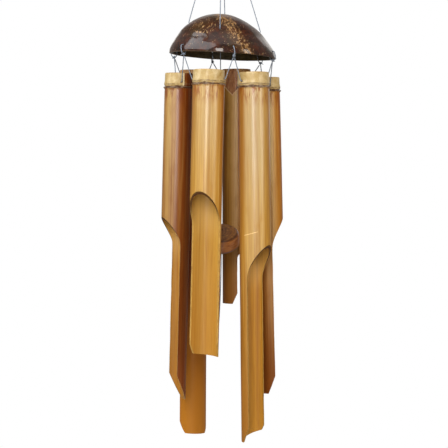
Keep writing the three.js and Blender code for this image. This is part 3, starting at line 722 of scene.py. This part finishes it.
def make_tube(n):
    t = TUBES[n]
    name = NAMES[n]
    r, ri = t["r"], t["r"] - 3.0
    node, top, mouth, foot = (t[k] - t["hole"] for k in ("node", "top", "mouth", "foot"))
    has_node = SPECS[n].get("node", True)
    ridge = 1.6 if has_node else 0.15

    path = [(0, node - 2.0), (ri * 0.3, node - 2.3), (ri * 0.6, node - 3.0), (ri * 0.85, node - 4.2), (ri * 0.97, node - 6.0)]
    thin = 1.1  # the tongue is pared thinner than the bore's wall

    def bore(z):
        f = min(max((mouth + 12 - z) / 20, 0.0), 1.0)
        return ri + thin * f * f * (3 - 2 * f)

    z = node - 9.0
    while z > foot + 2:
        path.append((bore(z), z))
        z -= 4.0
    path += [(bore(foot), foot), (bore(foot) + 0.2, foot), (r - 0.3, foot), (r, foot + 0.3)]
    z = foot + 4
    while z < node - 11:
        path.append((r, z))
        z += 4.0
    path += [
        (r, node - 9), (r, node - 6), (r - 0.05 * ridge, node - 4), (r - 0.1 * ridge, node - 2.8),
        (r + 0.1 * ridge, node - 1.9), (r + 0.45 * ridge, node - 1.2), (r + 0.78 * ridge, node - 0.6), (r + 0.85 * ridge, node - 0.1),
        (r + 0.6 * ridge, node + 0.4), (r + 0.1 * ridge, node + 0.8), (r - 0.15 * ridge, node + 1.1), (r, node + 1.7),
        (r + 0.3 * ridge, node + 2.8), (r + 0.35 * ridge, node + 4.0), (r + 0.15 * ridge, node + 5.6), (r - 0.1, node + 8),
    ]
    z = node + 10
    while z < top - 2:
        path.append((r - 0.2, z))
        z += 2.5
    path += [(r - 0.2, top - 0.9), (r - 0.3, top - 0.3), (r - 0.6, top), (ri + 0.4, top), (ri + 0.1, top - 0.3)]
    z = top - 3
    while z > node + 5.5:
        path.append((ri, z))
        z -= 2.5
    path += [(ri * 0.98, node + 4.4), (ri * 0.9, node + 3.0), (ri * 0.6, node + 2.3), (ri * 0.3, node + 2.0), (0, node + 1.9)]

    outer_from = next(i for i, (pr, pz) in enumerate(path) if pr >= r - 0.31 and abs(pz - foot) < 0.31)
    seed = 11.3 * n

    def shape(i, a, pr, pz):
        if pr == 0:
            return (0, 0, pz * MM)
        inner = not (outer_from - 1 <= i and pr > ri + 0.35)
        grow = 0.0
        if inner:
            if pz < node - 3 or pz > node + 3:
                grow = 0.22 * wobble(a, pz, seed + 5, 2.2, 0.010) + 0.10 * wobble(a, pz, seed + 9, 14.0, 0.012)
            else:
                return (pr * math.cos(a) * MM, pr * math.sin(a) * MM, (pz + 0.35 * wobble(a, pr, seed, 1.6, 0.3)) * MM)
        else:
            grow = 0.16 * math.cos(2 * (a - seed)) + 0.22 * wobble(a, pz, seed, 1.3, 0.012) + 0.07 * wobble(a, pz, seed + 3, 7.0, 0.02)
            if has_node and abs(pz - node) < 3:
                grow += 0.16 * wobble(a, pz, seed + 7, 6.0, 0.25) * (1 - abs(pz - node) / 3)
        q = pr + grow
        dz = 0.0
        if has_node and abs(pz - node) < 8:
            dz = 0.55 * wobble(a, 0, seed + 1, 1.2, 0) * (1 - abs(pz - node) / 8)
        return (q * math.cos(a) * MM, q * math.sin(a) * MM, (pz + dz) * MM)

    verts, faces = revolve(path, 96, shape)
    tube = outward(mesh_object(f"tube_{name}", verts, faces))

    # the mouth and the tongue: one slanting cut that runs into the flat, then the foot's slant
    m, R, slope = mouth, r, t["drop"] * 0.72 / r
    cutX = t["cutX"]
    curve = curve_through([(x, 0, z) for x, z in [
        (R + 4, m + 4 * slope), (R, m), (0.45 * R, m - 0.55 * R * slope), (0.12 * R, m - 0.68 * t["drop"]),
        (cutX + 0.6, m - 0.88 * t["drop"]), (cutX, m - 1.1 * t["drop"]), (cutX, m - 1.4 * t["drop"])]], 1.6)
    outline = [(p.x, p.z) for p in curve]
    z = outline[-1][1] - 5
    while z > foot + t["bevel"][0] + 3:
        outline.append((cutX + 0.28 * noise.noise(Vector((seed, 0, z * 0.05))) + 0.12 * noise.noise(Vector((0, seed, z * 0.3))), z))
        z -= 5
    outline += [(cutX, foot + t["bevel"][0]), (t["bevel"][1], foot), (t["bevel"][1], foot - 5), (R + 4, foot - 5)]
    spin = Matrix.Rotation(math.radians(t["face"]), 4, "Z")
    cut(tube, prism("cutter", [(x * MM, z * MM) for x, z in outline], -30 * MM, 30 * MM, spin))
    if t["end"][1]:
        fall = math.atan2(t["end"][1], 2 * R)
        place = Matrix.Rotation(math.radians(t["end"][0]), 4, "Z") @ Matrix.Translation((0, 0, (foot + t["end"][1] / 2) * MM)) @ Matrix.Rotation(-fall, 4, "Y")
        box = [(x, z) for x, z in ((-60, 0), (60, 0), (60, -60), (-60, -60))]
        cut(tube, prism("cutter", [(x * MM, z * MM) for x, z in box], -60 * MM, 60 * MM, place))
    back = t["turn"].inverted() @ Vector((0, 0, 0))
    flat = Vector((t["tangent"].x, t["tangent"].y, 0))
    cut(tube, rod("cutter", flat * (-R - 4) * MM, flat * (R + 4) * MM, 1.55 * MM, 20))

    # which faces are skin, inside or sawn
    data = tube.data
    co = np.zeros(len(data.polygons) * 3)
    no = np.zeros(len(data.polygons) * 3)
    data.polygons.foreach_get("center", co)
    data.polygons.foreach_get("normal", no)
    co, no = co.reshape(-1, 3) / MM, no.reshape(-1, 3)
    rad = np.hypot(co[:, 0], co[:, 1])
    radial = (co[:, 0] * no[:, 0] + co[:, 1] * no[:, 1]) / np.maximum(rad, 1e-6)
    kind = np.full(len(co), 2)
    kind[(radial > 0.93) & (rad > r - 1.2)] = 0
    kind[(np.abs(co[:, 2] - node) < 9) & (rad > r - 1.2) & (radial > 0.1)] = 0
    kind[(radial < -0.55) & (rad < r - 0.9) & (rad > ri - 1.2)] = 1
    kind[(rad < ri + 0.3) & (np.abs(co[:, 2] - node) < 8)] = 1
    data.materials.clear()
    spec = SPECS[n]
    for material in (skin_material(n, spec), inner_material(n, spec), sawn_material(n, spec)):
        data.materials.append(material)
    data.polygons.foreach_set("material_index", kind.astype(np.int32))
    smooth(tube, 38)
    tube.matrix_world = t["matrix"]
    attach(tube, f"tube_{name}")
    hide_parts(f"bamboo_tube_{name}")
    return tube


for n in TUBES:
    make_tube(n)


# ------------------------------------------------------------------ suspension lines
for n, t in TUBES.items():
    name = NAMES[n]
    reach = t["r"] + 1.6
    a, b = t["a"], t["b"]
    side_a, side_b = t["pivot"] - t["tangent"] * reach, t["pivot"] + t["tangent"] * reach
    start = a + (side_a - a).normalized() * 2.4
    stop = b + (side_b - b).normalized() * 2.4
    route = along(corners([start, side_a, side_b, stop], 1.5, 8), 0.42)
    v, f = collect([twisted(route, 0.6)])
    line = smooth(mesh_object(f"line_{name}_cord", v, f), 60)
    finish_piece(line, LINE, f"line_{name}", [f"suspension_line_{name}"])


# ------------------------------------------------------------------ rim ties
TIE = [(60.3, -3.2), (63.2, -1.9), (64.0, 0.6), (63.9, 4.6), (63.0, 6.9), (60.6, 7.6), (57.4, 7.4), (56.1, 6.0), (56.6, 3.4), (57.6, -0.6), (58.4, -2.2)]
for az in RIM_AZ:
    route = curve_through([shell_point(r, az + 0.35 * math.sin(i), h) for i, (r, h) in enumerate(TIE)], 0.4, closed=True)
    knot = RIM_KNOTS[az]
    out = (shell_point(70, az, 0) - shell_point(60, az, 0)).normalized()
    side = out.cross(Vector((0, 0, 1)))
    end = curve_through([knot + out * 0.8, knot + out * 2.0 + side * 0.8 + Vector((0, 0, -0.2)), knot + out * 2.9 + side * 1.7 + Vector((0, 0, -1.2))], 0.3)
    v, f = collect([
        twisted(route, 0.6, closed=True),
        knot_line(knot, 2.0, 0.62, axis=(out.x, out.y, 0.6), turn=math.radians(az)),
        twisted(end, 0.5, pitch=2.5),
    ])
    tie = smooth(mesh_object(f"tie_{RIM_NAME[az]}", v, f), 60)
    finish_piece(tie, LINE, "canopy", [f"rim_tie_{RIM_NAME[az]}"])

# ------------------------------------------------------------------ hanger lines, gather knot, loop and ring
def hanger(first, second, dz):
    def start(hole):
        return GATHER + (on_shell(*hole, -1.1) - GATHER).normalized() * 3.4
    a, b = HANGER_HOLES[first], HANGER_HOLES[second]
    return corners([
        start(a), on_shell(*a, -1.1), on_shell(*a, SHELL_WALL + 1.1), CROSSING + Vector((0, 0, dz)),
        on_shell(*b, SHELL_WALL + 1.1), on_shell(*b, -1.1), start(b)], 1.3, 6)


for name, first, second, dz in (("left_right", "left", "right", 0.8), ("front_back", "front", "back", -0.8)):
    v, f = collect([twisted(along(hanger(first, second, dz), 0.5), 0.6)])
    line = smooth(mesh_object(f"hanger_{name}", v, f), 60)
    finish_piece(line, LINE, "canopy", [f"hanger_line_{name}"])

# the four legs and the loop come together in one large tight knot
v, f = collect([
    knot_line(GATHER, 3.2, 0.72, axis=(0.2, 1, 0.35), flat=1.0),
    knot_line(GATHER + Vector((0.2, 0, 0.1)), 2.9, 0.72, axis=(1, 0.25, 0.3), turn=0.7),
    twisted(curve_through([GATHER + Vector((1.4, 0.4, 0)), GATHER + Vector((3.4, 0.5, -0.7)), GATHER + Vector((4.6, 0.3, -2.6))], 0.35), 0.55, pitch=2.6),
])
gather = smooth(mesh_object("gather", v, f), 60)
finish_piece(gather, LINE, "gather_knot", ["gather_knot"])

wire = Vector((0, 0, -17.0))
loop = [Vector((0, -0.95, -27.25)), Vector((0, -1.05, -25.7)), Vector((0, -1.95, -20.0))]
loop += [wire + Vector((0, 1.95 * math.cos(math.pi - math.pi * i / 10), 1.95 * math.sin(math.pi - math.pi * i / 10))) for i in range(11)]
loop += [Vector((0, 1.95, -20.0)), Vector((0, 1.05, -25.7)), Vector((0, 0.95, -27.25))]
v, f = collect([twisted(along(corners(loop, 1.0, 3), 0.4), 0.6)])
ring_loop = smooth(mesh_object("loop_line", v, f), 60)
finish_piece(ring_loop, LINE, "ring_loop", ["ring_loop"])


def steel_material():
    s = Shade("ring_steel", Metallic=1.0)
    brushed = s.noise(s.stretched(1.2, 9.0, 1.2), 1.0, 3, 0.6)
    spots = s.noise(s.p, 1.1, 3, 0.6)
    colour = s.mix(s.step(brushed, 0.3, 0.7), "#a9adb2", "#c6c9cd")
    colour = s.mix(s.step(spots, 0.6, 0.78, (0.0, 0.6)), colour, "#7c6f62")
    s.set("Base Color", colour)
    s.set("Roughness", s.step(spots, 0.3, 0.75, (0.22, 0.42)))
    s.bump(brushed, 0.2, 0.05)
    return s.material


def ring_mesh():
    """Bent round wire, butt-welded at the side, with the weld's small bead."""
    big, small, nu, nv = 9.0, 1.0, 128, 20
    verts, faces = [], []
    for i in range(nu):
        a = 2 * math.pi * i / nu
        off = min(abs(a - 0.6), 2 * math.pi - abs(a - 0.6)) * big
        bead = 0.13 * math.exp(-(off / 0.55) ** 2) - 0.05 * math.exp(-((off - 1.2) / 0.4) ** 2)
        for k in range(nv):
            b = 2 * math.pi * k / nv
            w = small + bead + 0.015 * noise.noise(Vector((math.cos(a) * 4, math.sin(a) * 4, k)))
            rr = big + w * math.cos(b)
            verts.append(Vector((rr * math.cos(a), w * math.sin(b), -8.0 + rr * math.sin(a))) * MM)
    for i in range(nu):
        for k in range(nv):
            j, m = (i + 1) % nu, (k + 1) % nv
            faces.append((i * nv + k, i * nv + m, j * nv + m, j * nv + k))
    return verts, faces


ring = outward(smooth(mesh_object("ring", *ring_mesh())))
finish_piece(ring, steel_material(), "hang_ring", ["hang_ring"])


# ------------------------------------------------------------------ coconut shell
def coconut_materials():
    s = Shade("coconut_polished", Coat_Roughness=0.1, Coat_IOR=1.45, Specular_IOR_Level=0.06)
    az = s.math("ARCTAN2", s.x, s.mul(s.y, -1.0))
    # fibre marks run up the shell, wandering a little
    wander = s.noise(s.p, 0.05, 2)
    u = s.add(s.mul(az, 26.0), s.mul(s.sub(wander, 0.5), 9.0))
    strokes = s.noise(s.vector(u, s.mul(s.z, 0.16), s.mul(s.y, 0.02)), 1.0, 4, 0.65)
    short = s.noise(s.vector(s.mul(u, 1.9), s.mul(s.z, 0.42), 3.0), 1.0, 3, 0.6)
    patches = s.noise(s.p, 0.075, 4, 0.6, 0.4)
    base = s.ramp(s.noise(s.p, 0.14, 4, 0.6), [(0.3, "#180702"), (0.48, "#2a0f04"), (0.62, "#3c1806"), (0.78, "#4a240c")])
    base = s.mix(s.step(s.noise(s.p, 0.045, 3), 0.5, 0.66, (0.0, 0.5)), base, "#30240e")
    # where the husk's fibres still show: a slanting band on the right and a patch on the upper left
    band = s.abs(s.sub(s.x, s.add(29.5, s.mul(s.z, -0.72))))
    band = s.step(s.add(band, s.mul(s.sub(patches, 0.5), 16.0)), 13.0, 3.0)
    left = s.step(s.math("SQRT", s.add(s.math("POWER", s.mul(s.add(s.x, 24.0), 0.75), 2.0), s.math("POWER", s.sub(s.z, 30.0), 2.0))), 17.0, 6.0)
    where = s.math("MAXIMUM", band, s.mul(left, 0.6))
    front = s.step(s.y, 4.0, -8.0)
    back = s.mul(s.step(patches, 0.5, 0.66), s.step(s.y, -8.0, 6.0))
    where = s.math("MAXIMUM", s.mul(where, front), back)
    where = s.math("MAXIMUM", where, s.step(patches, 0.56, 0.72, (0.0, 0.55)))
    marks = s.step(s.add(s.mul(strokes, 0.6), s.mul(short, 0.4)), s.sub(0.60, s.mul(where, 0.12)), s.sub(0.67, s.mul(where, 0.12)))
    tan = s.ramp(short, [(0.3, "#66401f"), (0.5, "#8f683c"), (0.7, "#b8986e")])
    base = s.mix(s.mul(marks, 0.9), base, tan)
    base = s.mix(s.mul(where, 0.22), base, "#5e3c1c")
    dots = s.voronoi(s.p, 0.33)
    base = s.mix(s.mul(s.step(dots, 0.16, 0.05), s.step(patches, 0.45, 0.6)), base, "#d0b088")
    # a hairline crack low on the left
    crack_x = s.add(-51.5, s.mul(s.sub(s.noise(s.p, 0.25, 2), 0.5), 2.0))
    crack = s.mul(s.step(s.abs(s.sub(s.x, crack_x)), 0.85, 0.3), s.mul(s.step(s.z, 12.0, 10.0), s.mul(s.step(s.z, 1.0, 2.5), s.step(s.y, 0.0, -5.0))))
    base = s.mix(crack, base, "#120603")
    s.set("Base Color", base)
    s.set("Coat Weight", s.step(s.add(s.z, s.mul(patches, 6.0)), 31.0, 21.0, (0.22, 0.95)))  # the polish is worn at the crown
    s.set("Roughness", s.step(marks, 0.0, 1.0, (0.4, 0.6)))
    s.bump(s.sub(s.add(s.mul(strokes, 0.5), s.mul(marks, -0.6)), s.mul(crack, 2.0)), 0.5, 0.3)

    i = Shade("coconut_inside", Coat_Weight=0.15, Coat_Roughness=0.4, Specular_IOR_Level=0.4)
    a = i.math("ARCTAN2", i.x, i.mul(i.y, -1.0))
    grain = i.noise(i.vector(i.mul(a, 18.0), i.mul(i.z, 0.15), 0.0), 1.0, 4, 0.6)
    blot = i.noise(i.p, 0.09, 4, 0.6)
    c = i.ramp(blot, [(0.3, "#2c2410"), (0.5, "#443818"), (0.7, "#5a4a22")])
    c = i.mix(i.step(grain, 0.5, 0.7, (0.0, 0.5)), c, "#241a0c")
    i.set("Base Color", c)
    i.set("Roughness", i.step(grain, 0.3, 0.7, (0.5, 0.7)))
    i.bump(grain, 0.6, 0.4)

    e = Shade("coconut_rim", Coat_Weight=0.3, Coat_Roughness=0.3, Specular_IOR_Level=0.45)
    g = e.noise(e.stretched(0.5, 0.5, 1.6), 1.0, 3, 0.6)
    e.set("Base Color", e.ramp(g, [(0.3, "#2a1a0e"), (0.5, "#4a3420"), (0.72, "#7a6244")]))
    e.set("Roughness", e.step(g, 0.3, 0.7, (0.4, 0.6)))
    e.bump(g, 0.5, 0.25)
    return s.material, i.material, e.material


def make_shell():
    # dense profile through the CAD model's own points, sampled evenly along its length
    dense = curve_through([(r, 0, h) for r, h in PROFILE[:-1]] + [(0.0, 0, SHELL_HEIGHT)], 1.25)
    outer = [(max(p.x, 0.0), p.z) for p in dense]
    outer[-1] = (0.0, SHELL_HEIGHT)
    count = len(outer)
    path = [(0.0, SHELL_HEIGHT - SHELL_WALL)]
    kinds = ["in"]
    inside = []
    for r, h in outer[:-1]:
        n = wall_normal(h)
        inside.append((max(r - SHELL_WALL * n.x, 0.0), h - SHELL_WALL * n.y))
    inside = [(r, h) for r, h in inside if h > 1.2 and r > 1.5]
    path += inside[::-1]
    foot_in = PROFILE[0][0] - SHELL_WALL
    path += [(foot_in + 0.1, 0.7), (foot_in + 0.35, 0.2), (foot_in + 0.9, 0.0), (foot_in + 2.0, -0.02), (62.0, 0.0), (62.55, 0.15), (62.75, 0.7)]
    path += [(r, h) for r, h in outer if h > 1.3 and r > 0.01]
    path += [(0.0, SHELL_HEIGHT)]
    rim_at = [i for i, (r, h) in enumerate(path) if h <= 0.71]
    first, last = rim_at[0], rim_at[-1]

    def shape(i, a, r, h):
        x, y = r * math.cos(a), r * math.sin(a)
        if i > last:  # outside: lumpy, with faint fibre ridges up to the crown
            n = wall_normal(min(max(h, 0), SHELL_HEIGHT))
            d = 0.34 * noise.noise(Vector((x, y, h)) * 0.045 + Vector((3, 8, 1))) + 0.16 * noise.noise(Vector((x, y, h)) * 0.14)
            d += 0.06 * noise.noise(Vector((math.cos(a) * 22, math.sin(a) * 22, h * 0.05)))
            fade = min(1.0, (h - 0.7) / 4)
            d *= fade
            x += d * n.x * math.cos(a)
            y += d * n.x * math.sin(a)
            h += d * n.y
        elif i < first and h > 1.2:  # inside: rougher
            d = 0.45 * noise.noise(Vector((x, y, h)) * 0.07 + Vector((9, 2, 4))) + 0.2 * noise.noise(Vector((x, y, h)) * 0.25)
            fade = min(1.0, (h - 1.2) / 4)
            x += d * fade * math.cos(a) * 0.6
            y += d * fade * math.sin(a) * 0.6
            h += d * fade * 0.6
        elif h <= 0.71:  # the sawn rim isn't quite true
            h += 0.22 * noise.noise(Vector((math.cos(a) * 2.5, math.sin(a) * 2.5, 1.0)))
        return (x * MM + lean(h) * MM, y * MM, h * MM)

    verts, faces = revolve(path, 216, shape)
    shell = outward(mesh_object("coconut", verts, faces))
    to_shell = SHELL_FRAME.inverted()
    rods = []
    for az in RIM_AZ:
        rods.append(rod("r", (to_shell @ shell_point(68.5, az, 7.6)) * MM, (to_shell @ shell_point(48.5, az, 7.6)) * MM, 1.0 * MM, 16))
    for hole in HANGER_HOLES.values():
        rods.append(rod("r", (to_shell @ on_shell(*hole, -5)) * MM, (to_shell @ on_shell(*hole, 9)) * MM, 1.05 * MM, 16))
    cut(shell, merged("cutter", rods))
    data = shell.data
    co = np.zeros(len(data.polygons) * 3)
    no = np.zeros(len(data.polygons) * 3)
    data.polygons.foreach_get("center", co)
    data.polygons.foreach_get("normal", no)
    co, no = co.reshape(-1, 3) / MM, no.reshape(-1, 3)
    heights = np.array([h for r, h in PROFILE])
    radii = np.array([r for r, h in PROFILE])
    x = co[:, 0] - (-5.4 * co[:, 2] / SHELL_HEIGHT)
    rad = np.hypot(x, co[:, 1])
    from_outer = np.interp(co[:, 2], heights, radii) - rad
    away = no[:, 0] * x / np.maximum(rad, 1e-6) + no[:, 1] * co[:, 1] / np.maximum(rad, 1e-6) + no[:, 2] * 0.9
    kind = np.full(len(co), 2)
    kind[(away > 0.25)] = 0
    kind[(away < -0.25) & (co[:, 2] > 1.0)] = 1
    kind[(co[:, 2] < 0.9)] = 2
    kind[(co[:, 2] < 0.9) & (no[:, 2] > -0.35) & (away > 0.25)] = 0
    data.materials.clear()
    for m in coconut_materials():
        data.materials.append(m)
    data.polygons.foreach_set("material_index", kind.astype(np.int32))
    smooth(shell, 40)
    shell.matrix_world = Matrix.Translation(CANOPY * MM) @ Matrix.Rotation(math.radians(SHELL_TILT), 4, "Y")
    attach(shell, "canopy")
    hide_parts("coconut_shell")
    return shell


make_shell()


# ------------------------------------------------------------------ clapper
TILT = Quaternion((1, 0, 0), math.radians(30)) @ Quaternion((0, 1, 0), -math.radians(2))
AXIS = TILT @ Vector((0, 0, 1))
DISC_C = Vector((CROSSING.x, CROSSING.y, -420.3))
HALF = 9.5
MOUTH_TOP = DISC_C + Vector((0, 0, HALF / AXIS.z))
MOUTH_FOOT = MOUTH_TOP - AXIS * 19
STOP = MOUTH_FOOT - AXIS * 3.8


def disc_material():
    s = Shade("clapper_wood", Coat_Weight=0.35, Coat_Roughness=0.25, Specular_IOR_Level=0.45)
    turn = s.noise(s.p, 0.05, 2)
    far = s.math("SQRT", s.add(s.math("POWER", s.add(s.x, 5.0), 2.0), s.math("POWER", s.sub(s.y, 2.0), 2.0)))
    rings = s.math("SINE", s.add(s.mul(far, 1.9), s.mul(turn, 9.0)))
    mott = s.noise(s.p, 0.22, 4, 0.65)
    face = s.ramp(mott, [(0.3, "#4a280e"), (0.5, "#7a4c22"), (0.68, "#9a6c38")])
    face = s.mix(s.step(rings, 0.2, 1.0, (0.0, 0.35)), face, "#2e1708")
    # the side band: the wood's own grain, painted paler orange as the lit rim: part own colour, part painted light
    grain = s.noise(s.stretched(0.14, 0.14, 1.3), 1.0, 4, 0.6)
    band = s.ramp(grain, [(0.3, "#6b3a16"), (0.5, "#a4642e"), (0.7, "#b97c44")])
    edge = s.math("SQRT", s.add(s.math("POWER", s.x, 2.0), s.math("POWER", s.y, 2.0)))
    side = s.mul(s.step(edge, 19.0, 20.6), s.step(s.z, 9.0, 7.4))
    base = s.mix(side, face, band)
    # painted shade: the underside and lower edge darkened
    base = s.mix(s.step(s.z, -4.5, -8.0), base, "#2a1006")
    base = s.mix(s.mul(s.step(edge, 18.6, 20.2), s.step(s.z, 6.8, 8.8)), base, "#4a2810")
    s.set("Base Color", base)
    s.set("Roughness", s.step(mott, 0.3, 0.7, (0.38, 0.58)))
    s.bump(s.add(s.mul(rings, 0.15), mott), 0.5, 0.3)
    return s.material


def make_disc():
    R, round_ = 22.0, 5.0
    path = [(0, -HALF), (5, -HALF), (10, -HALF), (14, -HALF), (R - round_, -HALF)]
    for i in range(1, 9):
        a = -math.pi / 2 + math.pi / 2 * i / 8
        path.append((R - round_ + round_ * math.cos(a), -HALF + round_ + round_ * math.sin(a)))
    path += [(R, -2.0), (R, 0.0), (R, 2.0)]
    for i in range(0, 9):
        a = math.pi / 2 * i / 8
        path.append((R - round_ + round_ * math.cos(a), HALF - round_ + round_ * math.sin(a)))
    path += [(14, HALF), (10, HALF), (5, HALF), (0, HALF)]

    def shape(i, a, r, z):
        if r == 0:
            return (0, 0, z * MM)
        k = noise.noise(Vector((math.cos(a) * 1.6, math.sin(a) * 1.6, z * 0.05)) + Vector((4, 4, 4)))
        q = r * (1 + 0.006 * k * min(1, r / 15)) + (0.12 * noise.noise(Vector((math.cos(a) * 9, math.sin(a) * 9, z * 0.3))) if r > 16 else 0)
        dz = 0.18 * noise.noise(Vector((r * math.cos(a) * 0.12, r * math.sin(a) * 0.12, z)))
        return (q * math.cos(a) * MM, q * math.sin(a) * MM, (z * (1 if abs(z) < HALF - 0.01 else 1) + dz) * MM)

    verts, faces = revolve(path, 96, shape)
    disc = outward(mesh_object("clapper", verts, faces))
    inv = TILT.inverted()
    a = inv @ (MOUTH_TOP + AXIS * 4 - DISC_C)
    b = inv @ (MOUTH_FOOT - AXIS * 4 - DISC_C)
    cut(disc, rod("cutter", a * MM, b * MM, 2.6 * MM, 28))
    smooth(disc, 38)
    disc.matrix_world = Matrix.Translation(DISC_C * MM) @ TILT.to_matrix().to_4x4()
    finish_piece(disc, disc_material(), "clapper_disc", ["clapper_disc"])


make_disc()

TIE_DIR = Vector((math.sqrt(0.5), math.sqrt(0.5), 0))
tie_route = [CROSSING + TIE_DIR * d + Vector((0, 0, z)) for d, z in (
    (-0.6, -5), (-2.6, -3), (-2.9, 0), (-2.2, 2.2), (0, 3.0), (2.2, 2.2), (2.9, 0), (2.6, -3), (0.6, -5))]
v, f = collect([
    twisted(curve_through(tie_route, 0.4), 0.6),
    knot_line(CROSSING + Vector((0, 0, -5)), 2.0, 0.6, axis=(0.3, 1, 0.3)),
])
tie = smooth(mesh_object("clapper_hitch", v, f), 60)
finish_piece(tie, LINE, "clapper_tie", ["clapper_tie"])

v, f = collect([twisted(along([CROSSING + Vector((0, 0, -7.35)), MOUTH_TOP + Vector((0, 0, 1.2))], 0.5), 0.6)])
drop = smooth(mesh_object("clapper_drop", v, f), 60)
finish_piece(drop, LINE, "clapper_line", ["clapper_line"])

v, f = collect([
    twisted(along([MOUTH_TOP + Vector((0, 0, 0.75)), MOUTH_TOP - AXIS * 0.6, MOUTH_FOOT, STOP], 0.45), 0.6),
    knot_line(STOP, 3.0, 0.75, axis=AXIS, flat=0.8),
    knot_line(STOP - AXIS * 0.2, 2.5, 0.7, axis=(1, 0.3, 0.3), turn=1.0, flat=0.8),
])
stop_knot = smooth(mesh_object("clapper_stop", v, f), 60)
finish_piece(stop_knot, LINE, "clapper_stop", ["clapper_stop_knot"])


# ------------------------------------------------------------------ floor, light and air
def stage_material():
    """Pale round the object, where it takes its soft shadow, and fading into the white air far off."""
    s = Shade("pale_floor", Roughness=0.9, Specular_IOR_Level=0.2)
    s.set("Base Color", s.mix(s.noise(s.p, 0.004, 3), "#d9d9d7", "#e0e0de"))
    tree, out = s.tree, next(n for n in s.tree.nodes if n.type == "OUTPUT_MATERIAL")
    far = s.step(s.math("SQRT", s.add(s.mul(s.x, s.x), s.mul(s.y, s.y))), 100.0, 1100.0, (0.8, 1.0))
    glow = tree.nodes.new("ShaderNodeEmission")
    glow.inputs[1].default_value = 1.0
    seen = tree.nodes.new("ShaderNodeMixShader")
    s.put(seen.inputs[0], far)
    tree.links.new(s.bsdf.outputs[0], seen.inputs[1])
    tree.links.new(glow.outputs[0], seen.inputs[2])
    light_path = tree.nodes.new("ShaderNodeLightPath")
    both = tree.nodes.new("ShaderNodeMixShader")
    tree.links.new(light_path.outputs["Is Camera Ray"], both.inputs[0])
    tree.links.new(s.bsdf.outputs[0], both.inputs[1])
    tree.links.new(seen.outputs[0], both.inputs[2])
    tree.links.new(both.outputs[0], out.inputs[0])
    return s.material


FLOOR = -2.2  # the hook is as high as a porch beam
floor = mesh_object("floor", [(-40, -40, FLOOR), (40, -40, FLOOR), (40, 40, FLOOR), (-40, 40, FLOOR)], [(0, 1, 2, 3)])
floor.data.materials.append(stage_material())


def lamp(name, azimuth, elevation, distance, size, power, colour=(1, 1, 1), aim=(0, 0, -0.38)):
    """A soft rectangular light; azimuth is from the front, to the right, as the camera sees it."""
    data = bpy.data.lights.new(name, "AREA")
    data.shape = "RECTANGLE"
    data.size, data.size_y = size
    data.energy = power
    data.color = colour
    obj = bpy.data.objects.new(name, data)
    scene.collection.objects.link(obj)
    a, e = math.radians(azimuth), math.radians(elevation)
    aim = Vector(aim)
    obj.location = aim + Vector((math.sin(a) * math.cos(e), -math.cos(a) * math.cos(e), math.sin(e))) * distance
    obj.rotation_euler = (obj.location - aim).to_track_quat("Z", "Y").to_euler()
    return obj


lamp("window_left", -60, 37, 1.9, (2.2, 1.9), 50, (0.92, 0.97, 1.0), aim=(0, 0, -0.25))
lamp("strip_front", -7, 2, 2.3, (0.55, 1.6), 36, (1.0, 0.97, 0.94), aim=(0, 0, 0.28))
lamp("strip_right", 54, 2, 2.0, (0.6, 1.6), 19, (1.0, 0.95, 0.88), aim=(0, 0, 0.28))
lamp("top", 20, 82, 1.6, (1.2, 1.2), 4, (1.0, 1.0, 1.0))
lamp("bounce", -5, -42, 2.2, (2.4, 1.6), 13, (1.0, 0.96, 0.91), aim=(0, 0, -0.42))
lamp("soft_behind", 170, 22, 2.6, (2.6, 2.0), 15, (1.0, 0.98, 0.95), aim=(0, 0, -0.35))

world = bpy.data.worlds.new("studio") if scene.world is None else scene.world
scene.world = world
world.use_nodes = True
tree = world.node_tree
tree.nodes.clear()
out = tree.nodes.new("ShaderNodeOutputWorld")
seen = tree.nodes.new("ShaderNodeBackground")
seen.inputs[0].default_value = (1, 1, 1, 1)
seen.inputs[1].default_value = 1.0
air = tree.nodes.new("ShaderNodeBackground")
air.inputs[0].default_value = (1.0, 0.95, 0.88, 1)
air.inputs[1].default_value = 0.3
path_node = tree.nodes.new("ShaderNodeLightPath")
mixer = tree.nodes.new("ShaderNodeMixShader")
tree.links.new(path_node.outputs["Is Camera Ray"], mixer.inputs[0])
tree.links.new(air.outputs[0], mixer.inputs[1])
tree.links.new(seen.outputs[0], mixer.inputs[2])
tree.links.new(mixer.outputs[0], out.inputs[0])

scene.view_settings.view_transform = "Standard"
scene.view_settings.look = "None"
